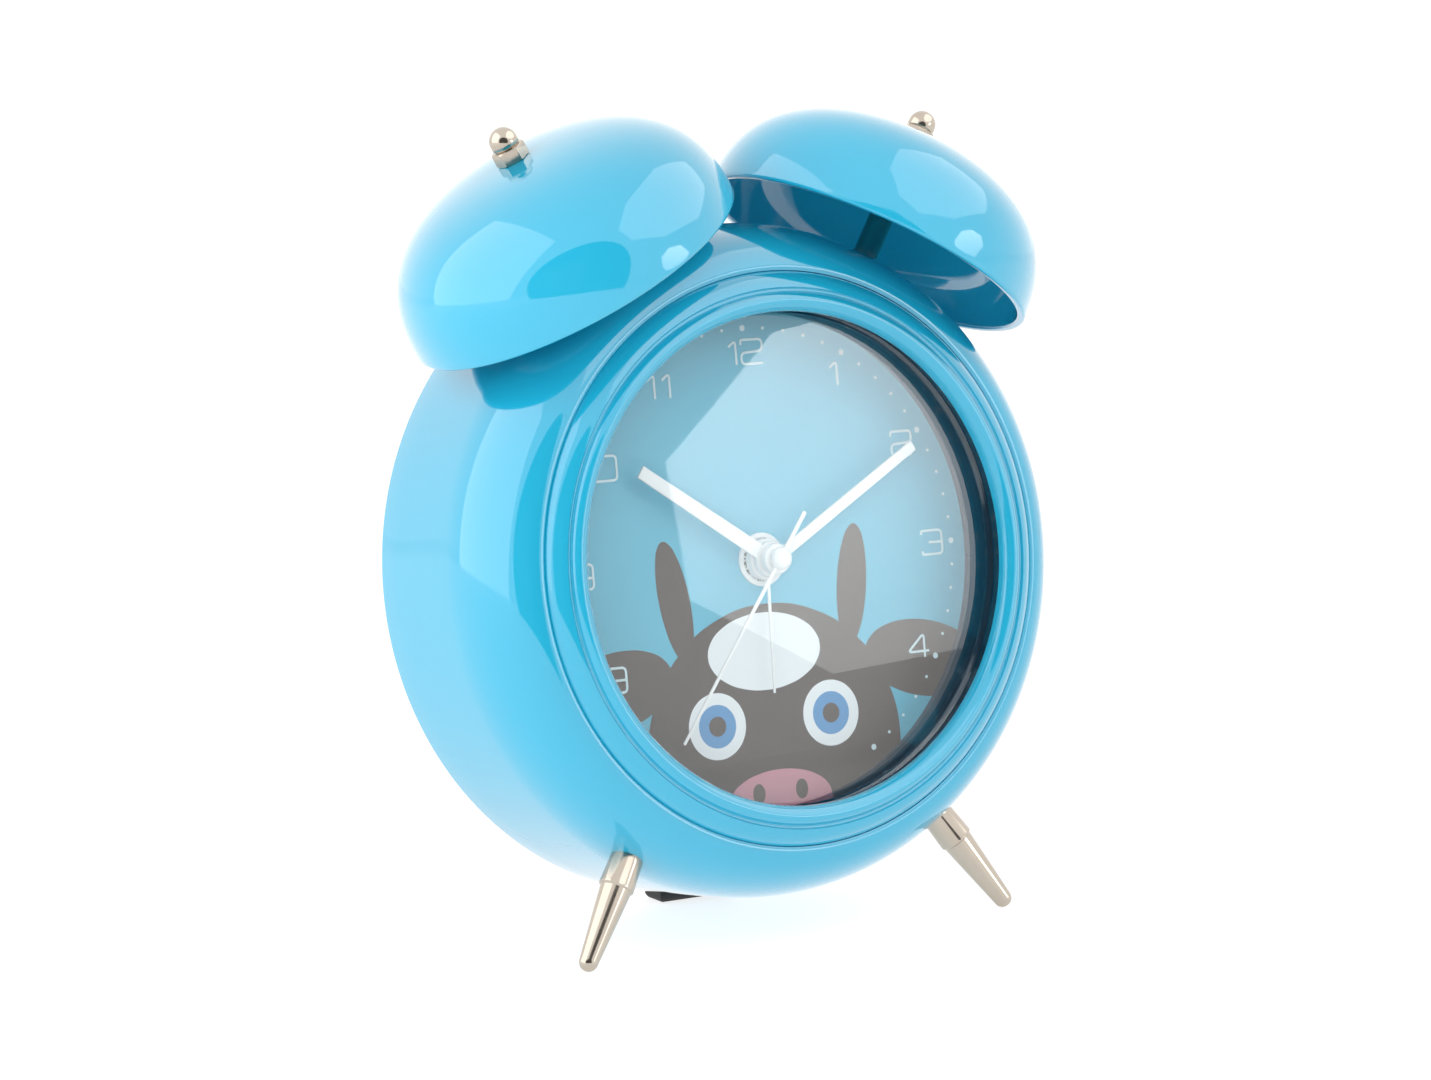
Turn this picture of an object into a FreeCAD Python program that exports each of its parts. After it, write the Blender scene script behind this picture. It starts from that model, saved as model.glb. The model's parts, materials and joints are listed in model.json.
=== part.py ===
"""Twin-bell alarm clock: a round moulded drum on two splayed metal legs and a rear foot, with two
decorative bells on studs, a domed lens over a printed dial, and a battery quartz alarm movement behind it.

Everything is modelled in the clock's own frame and stood up at the end. In that frame +X is to the right of
someone reading the dial, +Y runs from the reader into the case, +Z points at twelve o'clock, and the dial's
centre line is the Y axis. Y = 0 is the inner edge of the bezel. Sizes are millimetres.
"""

import FreeCAD, Part
import math
import os

V = FreeCAD.Vector

# ---------------------------------------------------------------- driving dimensions
# standing
LEAN = 9.0                    # degrees that the dial leans back from upright

# drum
CASE_RADIUS = 61.2
CASE_WALL = 2.0
SHOULDER_FRONT = 1.3          # where the rounded shoulder starts beside the bezel
SHOULDER_DEPTH = 17.7         # how far back the shoulder runs before the side is straight
REAR_ROUND = 1.9
LIP_THICKNESS = 2.2

# bezel, lens and dial
OPENING_RADIUS = 44.0
BEZEL_RADIUS = 51.1
BEZEL_SEAT = 2.6              # depth of the face that the bezel sits on
GROOVE_RADIUS = 47.5          # the groove between the bezel's two beads
BEAD_HEIGHT = 1.95            # how far the inner bead stands in front of the opening's edge
BEAD_CREST = 1.9              # how far outside the opening's edge that bead is highest
GROOVE_HALF = 0.15            # half the width of the groove's floor
OUTER_BEAD = (0.6, 0.75, 2.5) # radii outside the groove: a fine line, the outer bead's foot and its crest
SKIRT_RADIUS = 48.0           # outside of the tube that plugs the bezel into the case
RING_WALL = 1.1               # wall of the dark tube round the dial
RING_STEP = 0.8               # width of the ledge that the lens is glued to
RING_LEDGE = 1.0              # thickness of that ledge
BEZEL_LIP = 0.8               # thickness of the bezel where it covers the tube's end
SKIRT_BACK = 8.0              # how far back the bezel's plug reaches
DIAL_FRONT = 13.4             # everything behind the opening is placed from the dial
LENS_DEPTH = DIAL_FRONT - 9.8    # the lens sits this far inside the opening
LENS_THICKNESS = 1.4
LENS_RISE = 1.2
DIAL_THICKNESS = 0.6
CARRIER_THICKNESS = 2.0
CARRIER_RADIUS = 47.5
CARRIER_SCREW_RADIUS = 51.3
CARRIER_BOSS = 2.4            # radius of the posts that carry it

# bells
BELL_RADIUS = 31.8
BELL_HEIGHT = 23.4
BELL_FULLNESS = 2.5           # exponent of the dome's superellipse: 2 is an ellipse, more is fuller
BELL_EDGE_ROUND = 0.5
BELL_WALL = 1.6
BELL_ANGLE = 30.0             # degrees from twelve o'clock
BELL_RAKE = 5.0               # degrees that a bell's stud leans towards the reader
BELL_AXIS_DEPTH = 22.9        # where the stud's line meets the dial's centre line
BELL_RIM = CASE_RADIUS + 1.2    # distance of the rim along that line
SPACER_RADIUS = 2.3
SPACER_SEAT = CASE_RADIUS - 0.2    # distance of the flat on the drum that the spacer stands on

# legs and rear foot
LEG_ANGLE = 33.7              # degrees from six o'clock
LEG_RAKE = 8.0
LEG_AXIS_DEPTH = 21.0
LEG_SEAT = CASE_RADIUS - 1.0    # distances along the leg's line, from the dial's centre line
LEG_RIDGE = LEG_SEAT + 6.5
LEG_END = LEG_SEAT + 22.7
LEG_TOP_RADIUS = 2.95
LEG_RIDGE_RADIUS = 3.2
LEG_TIP_RADIUS = 1.75
FOOT_WIDTH = 16.0
FOOT_REACH = 7.5              # how far the rear foot stands behind the rear cover
FOOT_TOP = -(CASE_RADIUS - 11.7)    # height of its upper edge
FOOT_SOLE_ROUND = 1.6

# M3 hardware
M3_RADIUS = 1.5
M3_ACROSS_FLATS = 5.5
M3_NUT_THICKNESS = 2.4
ACORN_HEX = 2.6
ACORN_HEIGHT = 6.4
ACORN_DOME_RADIUS = 2.55
STUD_HOLE = 1.6
WASHER_RADIUS = 3.4
WASHER_THICKNESS = 0.5
SEAT_BOSS_RADIUS = 4.4        # the thick places inside the drum, under studs and legs
SEAT_BOSS_HEIGHT = 4.0

# quartz movement
MOVEMENT_SIZE = 56.0
MOVEMENT_WALL = 1.2
MOVEMENT_SPLIT = DIAL_FRONT + 10.6
MOVEMENT_BACK = DIAL_FRONT + 19.2
BUSH_RADIUS = 4.0
POST_RADIUS = 2.5
POST_INSET = 3.8              # movement corner posts, from the outside faces
PLATE_FRONT = DIAL_FRONT + 9.8
PLATE_THICKNESS = 0.6
PIVOT_RADIUS = 0.4

# rear cover and what it holds
COVER_THICKNESS = 2.0
COVER_BACK = MOVEMENT_BACK + 11.8
CASE_BACK = COVER_BACK + 0.2    # the drum's rear rim stands just behind the cover
COVER_SCREW_RADIUS = CASE_RADIUS - 5.8
BATTERY_RADIUS = 7.2
BATTERY_LENGTH = 49.5
BATTERY_HEIGHT = -(MOVEMENT_SIZE / 2 + 12)
BATTERY_DEPTH = COVER_BACK - 9.4
TRAY_WALL = 1.2
DOOR_LAP = 1.4                # how far the door laps over the battery opening, all round
DOOR_THICKNESS = 1.2
KNOB_RADIUS = 5.0
KNOB_LENGTH = 6.2
SHAFT_RADIUS = 1.0
SWITCH_TRAVEL = 4.0
SWITCH_PLACE = (27.0, -2.0)
SPEAKER_RADIUS = 14.0
SPEAKER_HEIGHT = 40.5
SPEAKER_MAGNET_RADIUS = 7.0
LEAD_RADIUS = 0.5

# small screws and other hardware inside
SCREW_RADIUS = 1.2
SCREW_HEAD = 2.3
SCREW_HEAD_HEIGHT = 1.3
LEG_SCREW_REACH = 8.0         # how far a leg's screw goes into the leg
COVER_SINK = 1.2
MOTION_STUD = 0.7
ROTOR_COLLAR = 0.9
BOARD_PLACE = (9.5, 25.0, 8.5, 20.5)        # the movement's circuit board: x0, x1, z0, z1
BOARD_LEVEL = (DIAL_FRONT + 15.2, DIAL_FRONT + 16.0)
SOUND_BOARD_PLACE = (12.0, 42.0, -14.0, 18.0)
SOUND_BOARD_LEVEL = (COVER_BACK - 9.5, COVER_BACK - 7.9)
BOARD_POSTS = [(15.5, -1.0), (38.5, 9.0)]
BOARD_POST = 2.4
SWITCH_NECK = 3.0
SWITCH_BODY_BACK = COVER_BACK - 3.4
GRILLE_HOLE = 0.9
FOOT_SCREWS = [(-4.6, 7.8 - CASE_RADIUS), (4.6, 7.8 - CASE_RADIUS)]
TRAY_LENGTH = 54.0
CONTACT = 0.4
SHAFT_END = COVER_BACK + 4.6

# clearances
FIT = 0.1                     # between pieces that only have to go together
RUNNING = 0.05                # between a shaft and what it turns in
PRESS = 0.01                  # between a hand and its tube

# hands: (angle from twelve, clockwise; length; width at the hub; width at the tip)
HOUR_HAND = (304.5, OPENING_RADIUS - 12.8, 2.8, 2.4)
MINUTE_HAND = (60.2, OPENING_RADIUS - 7.4, 2.1, 2.0)
SECOND_HAND = (217.0, OPENING_RADIUS - 5.2, 0.8, 0.55)
ALARM_HAND = (181.8, OPENING_RADIUS - 19.9, 0.7, 0.45)
SECOND_TAIL = 10.0

# ---------------------------------------------------------------- small tools
def wire(start, steps, to_space):
    """A closed wire. A step is a point, a (through, end) pair for an arc, or a ready-made edge."""
    edges = []
    here = start
    for step in list(steps) + [start]:
        if isinstance(step, tuple) and isinstance(step[0], Part.Edge):
            edges.append(step[0])
            here = step[1]
            continue
        if isinstance(step[0], tuple):
            through, end = step
            edges.append(Part.Arc(to_space(here), to_space(through), to_space(end)).toShape())
        else:
            end = step
            if to_space(here).isEqual(to_space(end), 1e-7):
                continue
            edges.append(Part.LineSegment(to_space(here), to_space(end)).toShape())
        here = end
    return Part.Wire(Part.__sortEdges__(edges))


def about_dial(point):
    """(radius, depth) to space, for turned pieces on the dial's centre line."""
    return V(point[0], point[1], 0)


def about_stud(point):
    """(radius, distance) to space, for turned pieces on a stud's line, which is Z until they are placed."""
    return V(point[0], 0, point[1])


def turned(start, *steps):
    """A solid of revolution about the dial's centre line."""
    return Part.Face(wire(start, steps, about_dial)).revolve(V(0, 0, 0), V(0, 1, 0), 360)


def turned_on_stud(start, *steps):
    """A solid of revolution about Z, for a bell, a leg or their hardware."""
    return Part.Face(wire(start, steps, about_stud)).revolve(V(0, 0, 0), V(0, 0, 1), 360)


def quarter_ellipse(front, side, to_space):
    """The edge of a quarter ellipse that leaves `front` radially and reaches `side` along the depth."""
    centre = to_space((front[0], side[1]))
    corners = [to_space(front), to_space(side)]
    corners.sort(key=lambda corner: corner.distanceToPoint(centre), reverse=True)
    ellipse = Part.Ellipse(corners[0], corners[1], centre)
    return Part.ArcOfEllipse(ellipse, 0, math.pi / 2).toShape()


def rod(radius, front, back, x=0.0, z=0.0):
    """A cylinder along the depth, from `front` to `back`."""
    return Part.makeCylinder(radius, back - front, V(x, front, z), V(0, 1, 0))


def tube(outer, inner, front, back, x=0.0, z=0.0):
    return rod(outer, front, back, x, z).cut(rod(inner, front, back, x, z))


def block(x0, x1, y0, y1, z0, z1):
    return Part.makeBox(x1 - x0, y1 - y0, z1 - z0, V(x0, y0, z0))


def rounded_block(x0, x1, y0, y1, z0, z1, radius):
    """A block whose four edges along the depth are rounded."""
    solid = block(x0, x1, y0, y1, z0, z1)
    along = [e for e in solid.Edges if abs(e.tangentAt(e.FirstParameter).y) > 0.99]
    return solid.makeFillet(radius, along)


def hexagon(across_flats, bottom, top):
    """A hexagonal prism on Z."""
    corner = across_flats / math.sqrt(3)
    angles = [math.radians(60 * k) for k in range(7)]
    points = [V(corner * math.cos(angle), corner * math.sin(angle), bottom) for angle in angles]
    return Part.Face(Part.makePolygon(points)).extrude(V(0, 0, top - bottom))


def joined(first, *others):
    return first.fuse(list(others)).removeSplitter() if others else first


def on_circle(radius, angle):
    """The (x, z) of a point at `angle` degrees clockwise from twelve."""
    return radius * math.sin(math.radians(angle)), radius * math.cos(math.radians(angle))


def stud_line(angle, rake, axis_depth):
    """The placement of a stud: Z goes out from the centre line at `angle`, leaning `rake` to the reader."""
    x, z = on_circle(math.cos(math.radians(rake)), angle)
    direction = V(x, -math.sin(math.radians(rake)), z)
    turn = FreeCAD.Rotation(V(0, 0, 1), direction)
    return FreeCAD.Placement(V(0, axis_depth, 0), turn)


def placed(shape, placement):
    copy = shape.copy()
    copy.Placement = placement.multiply(copy.Placement)
    return copy


def screw(head_radius, head_height, radius, length, x, z, face):
    """A screw driven towards the reader; its head sits behind the plane y = face."""
    head = rod(head_radius, face, face + head_height, x, z)
    slot = head_radius * 0.28
    reach = head_radius * 1.2
    cross = block(x - reach / 2, x + reach / 2, face + head_height * 0.45, face + head_height + 1,
                  z - slot / 2, z + slot / 2)
    cross = cross.fuse(block(x - slot / 2, x + slot / 2, face + head_height * 0.45, face + head_height + 1,
                             z - reach / 2, z + reach / 2))
    return joined(head, rod(radius, face - length, face, x, z)).cut(cross)


def lead(points, radius):
    """A round wire along straight runs joined by tangent arcs."""
    nodes = [V(*p) for p in points]
    edges = []
    here = nodes[0]
    for before, corner, after in zip(nodes, nodes[1:], nodes[2:]):
        into = (corner - before).normalize()
        out = (after - corner).normalize()
        half_turn = into.getAngle(out) / 2
        run = 0.45 * min(before.distanceToPoint(corner), corner.distanceToPoint(after))
        bend = run / math.tan(half_turn)
        start, end = corner - into * run, corner + out * run
        bisector = (out - into).normalize()
        centre = corner + bisector * (bend / math.cos(half_turn))
        middle = centre - bisector * bend
        edges.append(Part.LineSegment(here, start).toShape())
        edges.append(Part.Arc(start, middle, end).toShape())
        here = end
    edges.append(Part.LineSegment(here, nodes[-1]).toShape())
    path = Part.Wire(edges)
    section = Part.Wire(Part.makeCircle(radius, nodes[0], nodes[1] - nodes[0]))
    return path.makePipeShell([section], True, False)


# ---------------------------------------------------------------- gears
PRESSURE_ANGLE = math.radians(20)
THINNING = 0.16               # share of the tooth taken off as backlash
ADDENDUM = 0.85               # in modules
DEDENDUM = 1.25
FEW_TEETH = 20                # gears with fewer get one more point on each flank


def tooth_half_angle(radius, teeth, module):
    """Half the angle that a tooth fills at `radius`, on an involute flank."""
    pitch = teeth * module / 2
    base = pitch * math.cos(PRESSURE_ANGLE)
    local = math.acos(min(1.0, base / max(radius, base)))
    at_pitch = math.pi / 2 / teeth * (1 - THINNING)
    return at_pitch + (math.tan(PRESSURE_ANGLE) - PRESSURE_ANGLE) - (math.tan(local) - local)


def gear(teeth, module, front, back, place, phase):
    """A spur gear about the line through `place`, with a tooth centred at `phase` radians from +X to +Z."""
    pitch = teeth * module / 2
    tip = pitch + ADDENDUM * module
    root = pitch - DEDENDUM * module
    radii = [root, pitch, tip]
    if teeth < FEW_TEETH:
        radii.insert(1, max(root * 1.02, pitch * math.cos(PRESSURE_ANGLE)))
    points = []
    for k in range(teeth):
        centre = phase + 2 * math.pi * k / teeth
        halves = [tooth_half_angle(r, teeth, module) for r in radii]
        flank = [(r, centre - h) for r, h in zip(radii, halves)]
        flank += [(r, centre + h) for r, h in reversed(list(zip(radii, halves)))]
        points += [V(place[0] + r * math.cos(a), front, place[1] + r * math.sin(a)) for r, a in flank]
    points.append(points[0])
    return Part.Face(Part.makePolygon(points)).extrude(V(0, back - front, 0))


def mesh_phase(driver_teeth, driver_phase, teeth, direction):
    """The phase that puts a gear in mesh with a driver that looks at it along `direction` radians."""
    share = (direction - driver_phase) * driver_teeth / (2 * math.pi)
    return direction + math.pi - 2 * math.pi * (0.5 - share) / teeth


def direction_to(here, there):
    return math.atan2(there[1] - here[1], there[0] - here[0])


def from_point(here, distance, direction):
    return here[0] + distance * math.cos(direction), here[1] + distance * math.sin(direction)


# tooth counts
ROTOR_PINION = 8
FIFTH_WHEEL, FIFTH_PINION = 40, 10
SECOND_WHEEL, SECOND_PINION = 60, 8
THIRD_WHEEL, THIRD_PINION = 60, 8
MINUTE_WHEEL = 64
CANNON_PINION = 12
MOTION_WHEEL, MOTION_PINION = 36, 10
HOUR_WHEEL = 40
TIME_PINION = 12
ALARM_WHEEL, ALARM_PINION = 48, 28

# centre distances and where the arbors stand, as (x, z)
CENTRE = (0.0, 0.0)
THIRD_DISTANCE = 9.0
MOTION_DISTANCE = 7.2
FINE_MODULE = 0.2             # rotor and fifth wheel
ALARM_MODULE = 0.25
THIRD_AT = from_point(CENTRE, THIRD_DISTANCE, 0.0)
MOTION_AT = from_point(CENTRE, MOTION_DISTANCE, -math.pi / 2)
FIFTH_AT = from_point(CENTRE, FINE_MODULE * (SECOND_WHEEL + FIFTH_PINION) / 2, math.radians(135))
ROTOR_AT = from_point(FIFTH_AT, FINE_MODULE * (FIFTH_WHEEL + ROTOR_PINION) / 2, math.radians(135))
ALARM_SHAFT_AT = from_point(CENTRE, ALARM_MODULE * (ALARM_WHEEL + ALARM_PINION) / 2, math.pi)

SECOND_THIRD_MODULE = 2 * THIRD_DISTANCE / (SECOND_PINION + THIRD_WHEEL)
THIRD_MINUTE_MODULE = 2 * THIRD_DISTANCE / (THIRD_PINION + MINUTE_WHEEL)
CANNON_MODULE = 2 * MOTION_DISTANCE / (CANNON_PINION + MOTION_WHEEL)
HOUR_MODULE = 2 * MOTION_DISTANCE / (MOTION_PINION + HOUR_WHEEL)
TIME_SHAFT_AT = from_point(MOTION_AT, CANNON_MODULE * (MOTION_WHEEL + TIME_PINION) / 2, -math.pi / 2)
SHAFTS_AT = (TIME_SHAFT_AT, ALARM_SHAFT_AT)


def behind_dial(front, back):
    """The depths of a part's front and back face, given from the dial's front."""
    return DIAL_FRONT + front, DIAL_FRONT + back


# depths of the wheels, front and back face
ALARM_LEVEL = behind_dial(4.2, 5.0)
HOUR_LEVEL = behind_dial(5.6, 6.4)
MOTION_PINION_LEVEL = behind_dial(5.4, 7.0)
MOTION_LEVEL = behind_dial(7.0, 7.8)
CANNON_LEVEL = behind_dial(6.8, 8.0)
MINUTE_LEVEL = behind_dial(8.4, 9.0)
THIRD_PINION_LEVEL = behind_dial(8.2, 11.0)
THIRD_LEVEL = behind_dial(11.0, 11.6)
SECOND_PINION_LEVEL = behind_dial(10.8, 12.2)
SECOND_LEVEL = behind_dial(12.2, 12.8)
FIFTH_PINION_LEVEL = behind_dial(12.0, 13.6)
FIFTH_LEVEL = behind_dial(13.6, 14.2)
ROTOR_PINION_LEVEL = behind_dial(13.4, 14.8)
MAGNET_LEVEL = behind_dial(15.0, 16.8)
MAGNET_RADIUS = 2.6
STATOR_LEVEL = behind_dial(15.4, 16.4)
FRONT_SOCKET = DIAL_FRONT + 3.1    # bottom of the front pivot holes
REAR_SOCKET = DIAL_FRONT + 18.8    # bottom of the rear pivot holes

# the four nested tubes at the centre: outside radius, and where each ends in front
SECOND_ARBOR = (0.8, DIAL_FRONT - 7.2)
MINUTE_TUBE = (1.4, DIAL_FRONT - 5.6)
HOUR_TUBE = (2.1, DIAL_FRONT - 3.6)
ALARM_TUBE = (2.6, DIAL_FRONT - 2.2)

MOVEMENT_FRONT = DIAL_FRONT + DIAL_THICKNESS + CARRIER_THICKNESS
POST_AT = MOVEMENT_SIZE / 2 - POST_INSET
CORNERS = [(sx * POST_AT, sz * POST_AT) for sx in (-1, 1) for sz in (-1, 1)]
COVER_FRONT = COVER_BACK - COVER_THICKNESS
CASE_INNER = CASE_RADIUS - CASE_WALL
RING_OUTER = OPENING_RADIUS + RING_STEP + RING_WALL
CLOCK_FACE_ANGLES = (45, 135, 225, 315)   # where the carrier and the rear cover are screwed down


# ---------------------------------------------------------------- drum, bezel, lens and dial
def case_shell():
    edge = BEZEL_RADIUS + 3 * FIT
    side = SHOULDER_FRONT + SHOULDER_DEPTH
    lip_back = BEZEL_SEAT + LIP_THICKNESS
    bore = SKIRT_RADIUS + FIT
    outer = quarter_ellipse((edge, SHOULDER_FRONT), (CASE_RADIUS, side), about_dial)
    inner = quarter_ellipse((edge, lip_back), (CASE_INNER, side), about_dial)
    bend = REAR_ROUND * (1 - math.sqrt(0.5))
    shell = turned((bore, BEZEL_SEAT), (edge, BEZEL_SEAT), (edge, SHOULDER_FRONT),
                   (outer, (CASE_RADIUS, side)),
                   (CASE_RADIUS, CASE_BACK - REAR_ROUND),
                   ((CASE_RADIUS - bend, CASE_BACK - bend), (CASE_RADIUS - REAR_ROUND, CASE_BACK)),
                   (CASE_INNER, CASE_BACK), (CASE_INNER, side), (inner, (edge, lip_back)), (bore, lip_back))
    carrier_front = DIAL_FRONT + DIAL_THICKNESS
    boss_length = 12.0
    added = []
    removed = []
    for angle in CLOCK_FACE_ANGLES:
        x, z = on_circle(CARRIER_SCREW_RADIUS, angle)
        added.append(rod(CARRIER_BOSS, lip_back - FIT, carrier_front, x, z))
        removed.append(rod(SCREW_RADIUS + RUNNING, lip_back + 1, carrier_front, x, z))
        x, z = on_circle(COVER_SCREW_RADIUS, angle)
        boss_front = COVER_FRONT - boss_length
        added.append(rod(CASE_INNER - COVER_SCREW_RADIUS + FIT, boss_front, COVER_FRONT, x, z))
        removed.append(rod(SCREW_RADIUS + RUNNING, boss_front + 1, COVER_FRONT, x, z))
    seats = [(line, SPACER_SEAT, SPACER_RADIUS) for line in bell_lines()]
    seats += [(line, LEG_SEAT, LEG_TOP_RADIUS) for line in leg_lines()]
    for line, seat, radius in seats:
        boss = Part.makeCylinder(SEAT_BOSS_RADIUS, SEAT_BOSS_HEIGHT, V(0, 0, seat - SEAT_BOSS_HEIGHT))
        sink = Part.makeCylinder(radius + FIT, CASE_WALL * 3, V(0, 0, seat))
        hole = Part.makeCylinder(STUD_HOLE, SEAT_BOSS_HEIGHT + 2, V(0, 0, seat - SEAT_BOSS_HEIGHT - 1))
        added.append(placed(boss, line))
        removed += [placed(sink, line), placed(hole, line)]
    return shell.fuse(added).cut(removed)


def bezel_ring():
    """Two beads with a groove between them. `front` takes a share of the inner bead's height."""
    def front(radius, share):
        return radius, -BEAD_HEIGHT * share

    ring_outer = RING_OUTER + FIT
    crest = OPENING_RADIUS + BEAD_CREST
    line, foot, outer_crest = (GROOVE_RADIUS + radius for radius in OUTER_BEAD)
    return turned((OPENING_RADIUS, 0),
                  (front(OPENING_RADIUS + 0.7, 0.7), front(crest, 1)),
                  (front(crest + 0.85, 0.84), front(GROOVE_RADIUS - GROOVE_HALF, 0.45)),
                  (front(GROOVE_RADIUS + GROOVE_HALF, 0.32), front(line, 0.38)),
                  front(foot, 0.5),
                  (front(outer_crest, 0.05), (BEZEL_RADIUS, BEAD_HEIGHT)),
                  (BEZEL_RADIUS, BEZEL_SEAT), (SKIRT_RADIUS, BEZEL_SEAT), (SKIRT_RADIUS, SKIRT_BACK),
                  (ring_outer, SKIRT_BACK), (ring_outer, BEZEL_LIP), (OPENING_RADIUS, BEZEL_LIP))


def lens():
    rim = OPENING_RADIUS + RING_STEP - FIT
    sphere = (rim ** 2 + LENS_RISE ** 2) / (2 * LENS_RISE)
    half_rise = sphere - math.sqrt(sphere ** 2 - (rim / 2) ** 2)
    front = LENS_DEPTH - LENS_RISE
    back = front + LENS_THICKNESS
    return turned((0, front), ((rim / 2, front + half_rise), (rim, LENS_DEPTH)),
                  (rim, LENS_DEPTH + LENS_THICKNESS), ((rim / 2, back + half_rise), (0, back)))


def dial_ring():
    bore = OPENING_RADIUS + RING_STEP
    ledge = LENS_DEPTH + LENS_THICKNESS
    return tube(RING_OUTER, bore, BEZEL_LIP, DIAL_FRONT).fuse(
        tube(bore + RING_WALL / 2, OPENING_RADIUS, ledge, ledge + RING_LEDGE)).removeSplitter()


def dial_plate():
    return tube(RING_OUTER, BUSH_RADIUS + FIT, DIAL_FRONT, DIAL_FRONT + DIAL_THICKNESS)


def dial_carrier():
    front = DIAL_FRONT + DIAL_THICKNESS
    plate = rod(CARRIER_RADIUS, front, MOVEMENT_FRONT)
    ears = []
    holes = [rod(BUSH_RADIUS + FIT, front, MOVEMENT_FRONT)]
    for angle in CLOCK_FACE_ANGLES:
        x, z = on_circle(CARRIER_SCREW_RADIUS, angle)
        ears.append(rod(CARRIER_BOSS + 0.4, front, MOVEMENT_FRONT, x, z))
        holes.append(rod(SCREW_RADIUS + FIT, front, MOVEMENT_FRONT, x, z))
    holes += [rod(SCREW_RADIUS + RUNNING, front, MOVEMENT_FRONT, x, z) for x, z in CORNERS]
    return joined(plate, *ears).cut(holes)


def carrier_screws():
    return [screw(SCREW_HEAD, SCREW_HEAD_HEIGHT, SCREW_RADIUS, 9.0, *on_circle(CARRIER_SCREW_RADIUS, angle),
                  MOVEMENT_FRONT) for angle in CLOCK_FACE_ANGLES]


# ---------------------------------------------------------------- hands
def hand(size, blade_front, blade_thickness, tail, hub_radius, hub_front, hub_back, bore, bore_front):
    """A flat bar on a hub. `size` is (angle, length, width at the hub, width at the tip)."""
    angle, length, wide, narrow = size
    x, z = on_circle(1, angle)
    along, across = V(x, 0, z), V(z, 0, -x)
    start = V(0, blade_front, 0)
    outline = [(-tail, -wide / 2), (length, -narrow / 2), (length, narrow / 2), (-tail, wide / 2)]
    points = [start + along * a + across * c for a, c in outline]
    blade = Part.Face(Part.makePolygon(points + points[:1])).extrude(V(0, blade_thickness, 0))
    hub = rod(hub_radius, hub_front, hub_back)
    return joined(blade, hub).cut(rod(bore + PRESS, bore_front, hub_back))


def hour_hand():
    radius, end = HOUR_TUBE
    return hand(HOUR_HAND, end + 0.2, 0.5, 0, 3.2, end, end + 1.1, radius, end)


def minute_hand():
    radius, end = MINUTE_TUBE
    return hand(MINUTE_HAND, end + 0.5, 0.5, 0, 2.75, end, end + 1.4, radius, end)


def alarm_hand():
    radius, end = ALARM_TUBE
    return hand(ALARM_HAND, end + 0.1, 0.3, 0, 3.7, end, end + 1.6, radius, end)


def second_hand():
    radius, end = SECOND_ARBOR
    cap_radius = 2.0
    front = end - 0.6
    blade = hand(SECOND_HAND, end + 0.6, 0.3, SECOND_TAIL, cap_radius, end, end + 1.0, radius, end)
    cap = turned((0, front), ((cap_radius * 0.72, front + 0.18), (cap_radius, end)), (0, end))
    return joined(blade, cap)


# ---------------------------------------------------------------- movement
def movement_box(front, back, posts_front, posts_back, floor_front, floor_back):
    """Half of the movement's case: walls from front to back, a floor, and four corner posts."""
    half = MOVEMENT_SIZE / 2
    inner = half - MOVEMENT_WALL
    box = rounded_block(-half, half, front, back, -half, half, 3.0)
    hollow = rounded_block(-inner, inner, front - 1, back + 1, -inner, inner, 2.0)
    floor = rounded_block(-half, half, floor_front, floor_back, -half, half, 3.0)
    posts = [rod(POST_RADIUS, posts_front, posts_back, x, z) for x, z in CORNERS]
    holes = [rod(SCREW_RADIUS + FIT, posts_front - 2, posts_back + 2, x, z) for x, z in CORNERS]
    return joined(box.cut(hollow), floor, *posts).cut(holes)


def movement_front_case():
    inside = MOVEMENT_FRONT + MOVEMENT_WALL
    box = movement_box(MOVEMENT_FRONT, MOVEMENT_SPLIT, inside - FIT, PLATE_FRONT, MOVEMENT_FRONT, inside)
    bush = rod(BUSH_RADIUS, DIAL_FRONT - 0.4, inside)
    stud = rod(MOTION_STUD, inside - FIT, MOTION_LEVEL[1] + 0.2, *MOTION_AT)
    holes = [rod(ALARM_TUBE[0] + RUNNING, DIAL_FRONT - 1, inside)]
    holes.append(rod(PIVOT_RADIUS + RUNNING, FRONT_SOCKET, inside, *THIRD_AT))
    holes += [rod(SHAFT_RADIUS + RUNNING, FRONT_SOCKET, inside, *place) for place in SHAFTS_AT]
    return joined(box, bush, stud).cut(holes)


def movement_back_case():
    inside = MOVEMENT_BACK - MOVEMENT_WALL
    box = movement_box(MOVEMENT_SPLIT, MOVEMENT_BACK, PLATE_FRONT + PLATE_THICKNESS, inside + FIT,
                       inside, MOVEMENT_BACK)
    holes = [rod(PIVOT_RADIUS + RUNNING, inside, REAR_SOCKET, *place)
             for place in (CENTRE, THIRD_AT, FIFTH_AT, ROTOR_AT)]
    holes += [rod(SHAFT_RADIUS + RUNNING, inside, MOVEMENT_BACK, *place) for place in SHAFTS_AT]
    return box.cut(holes)


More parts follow.
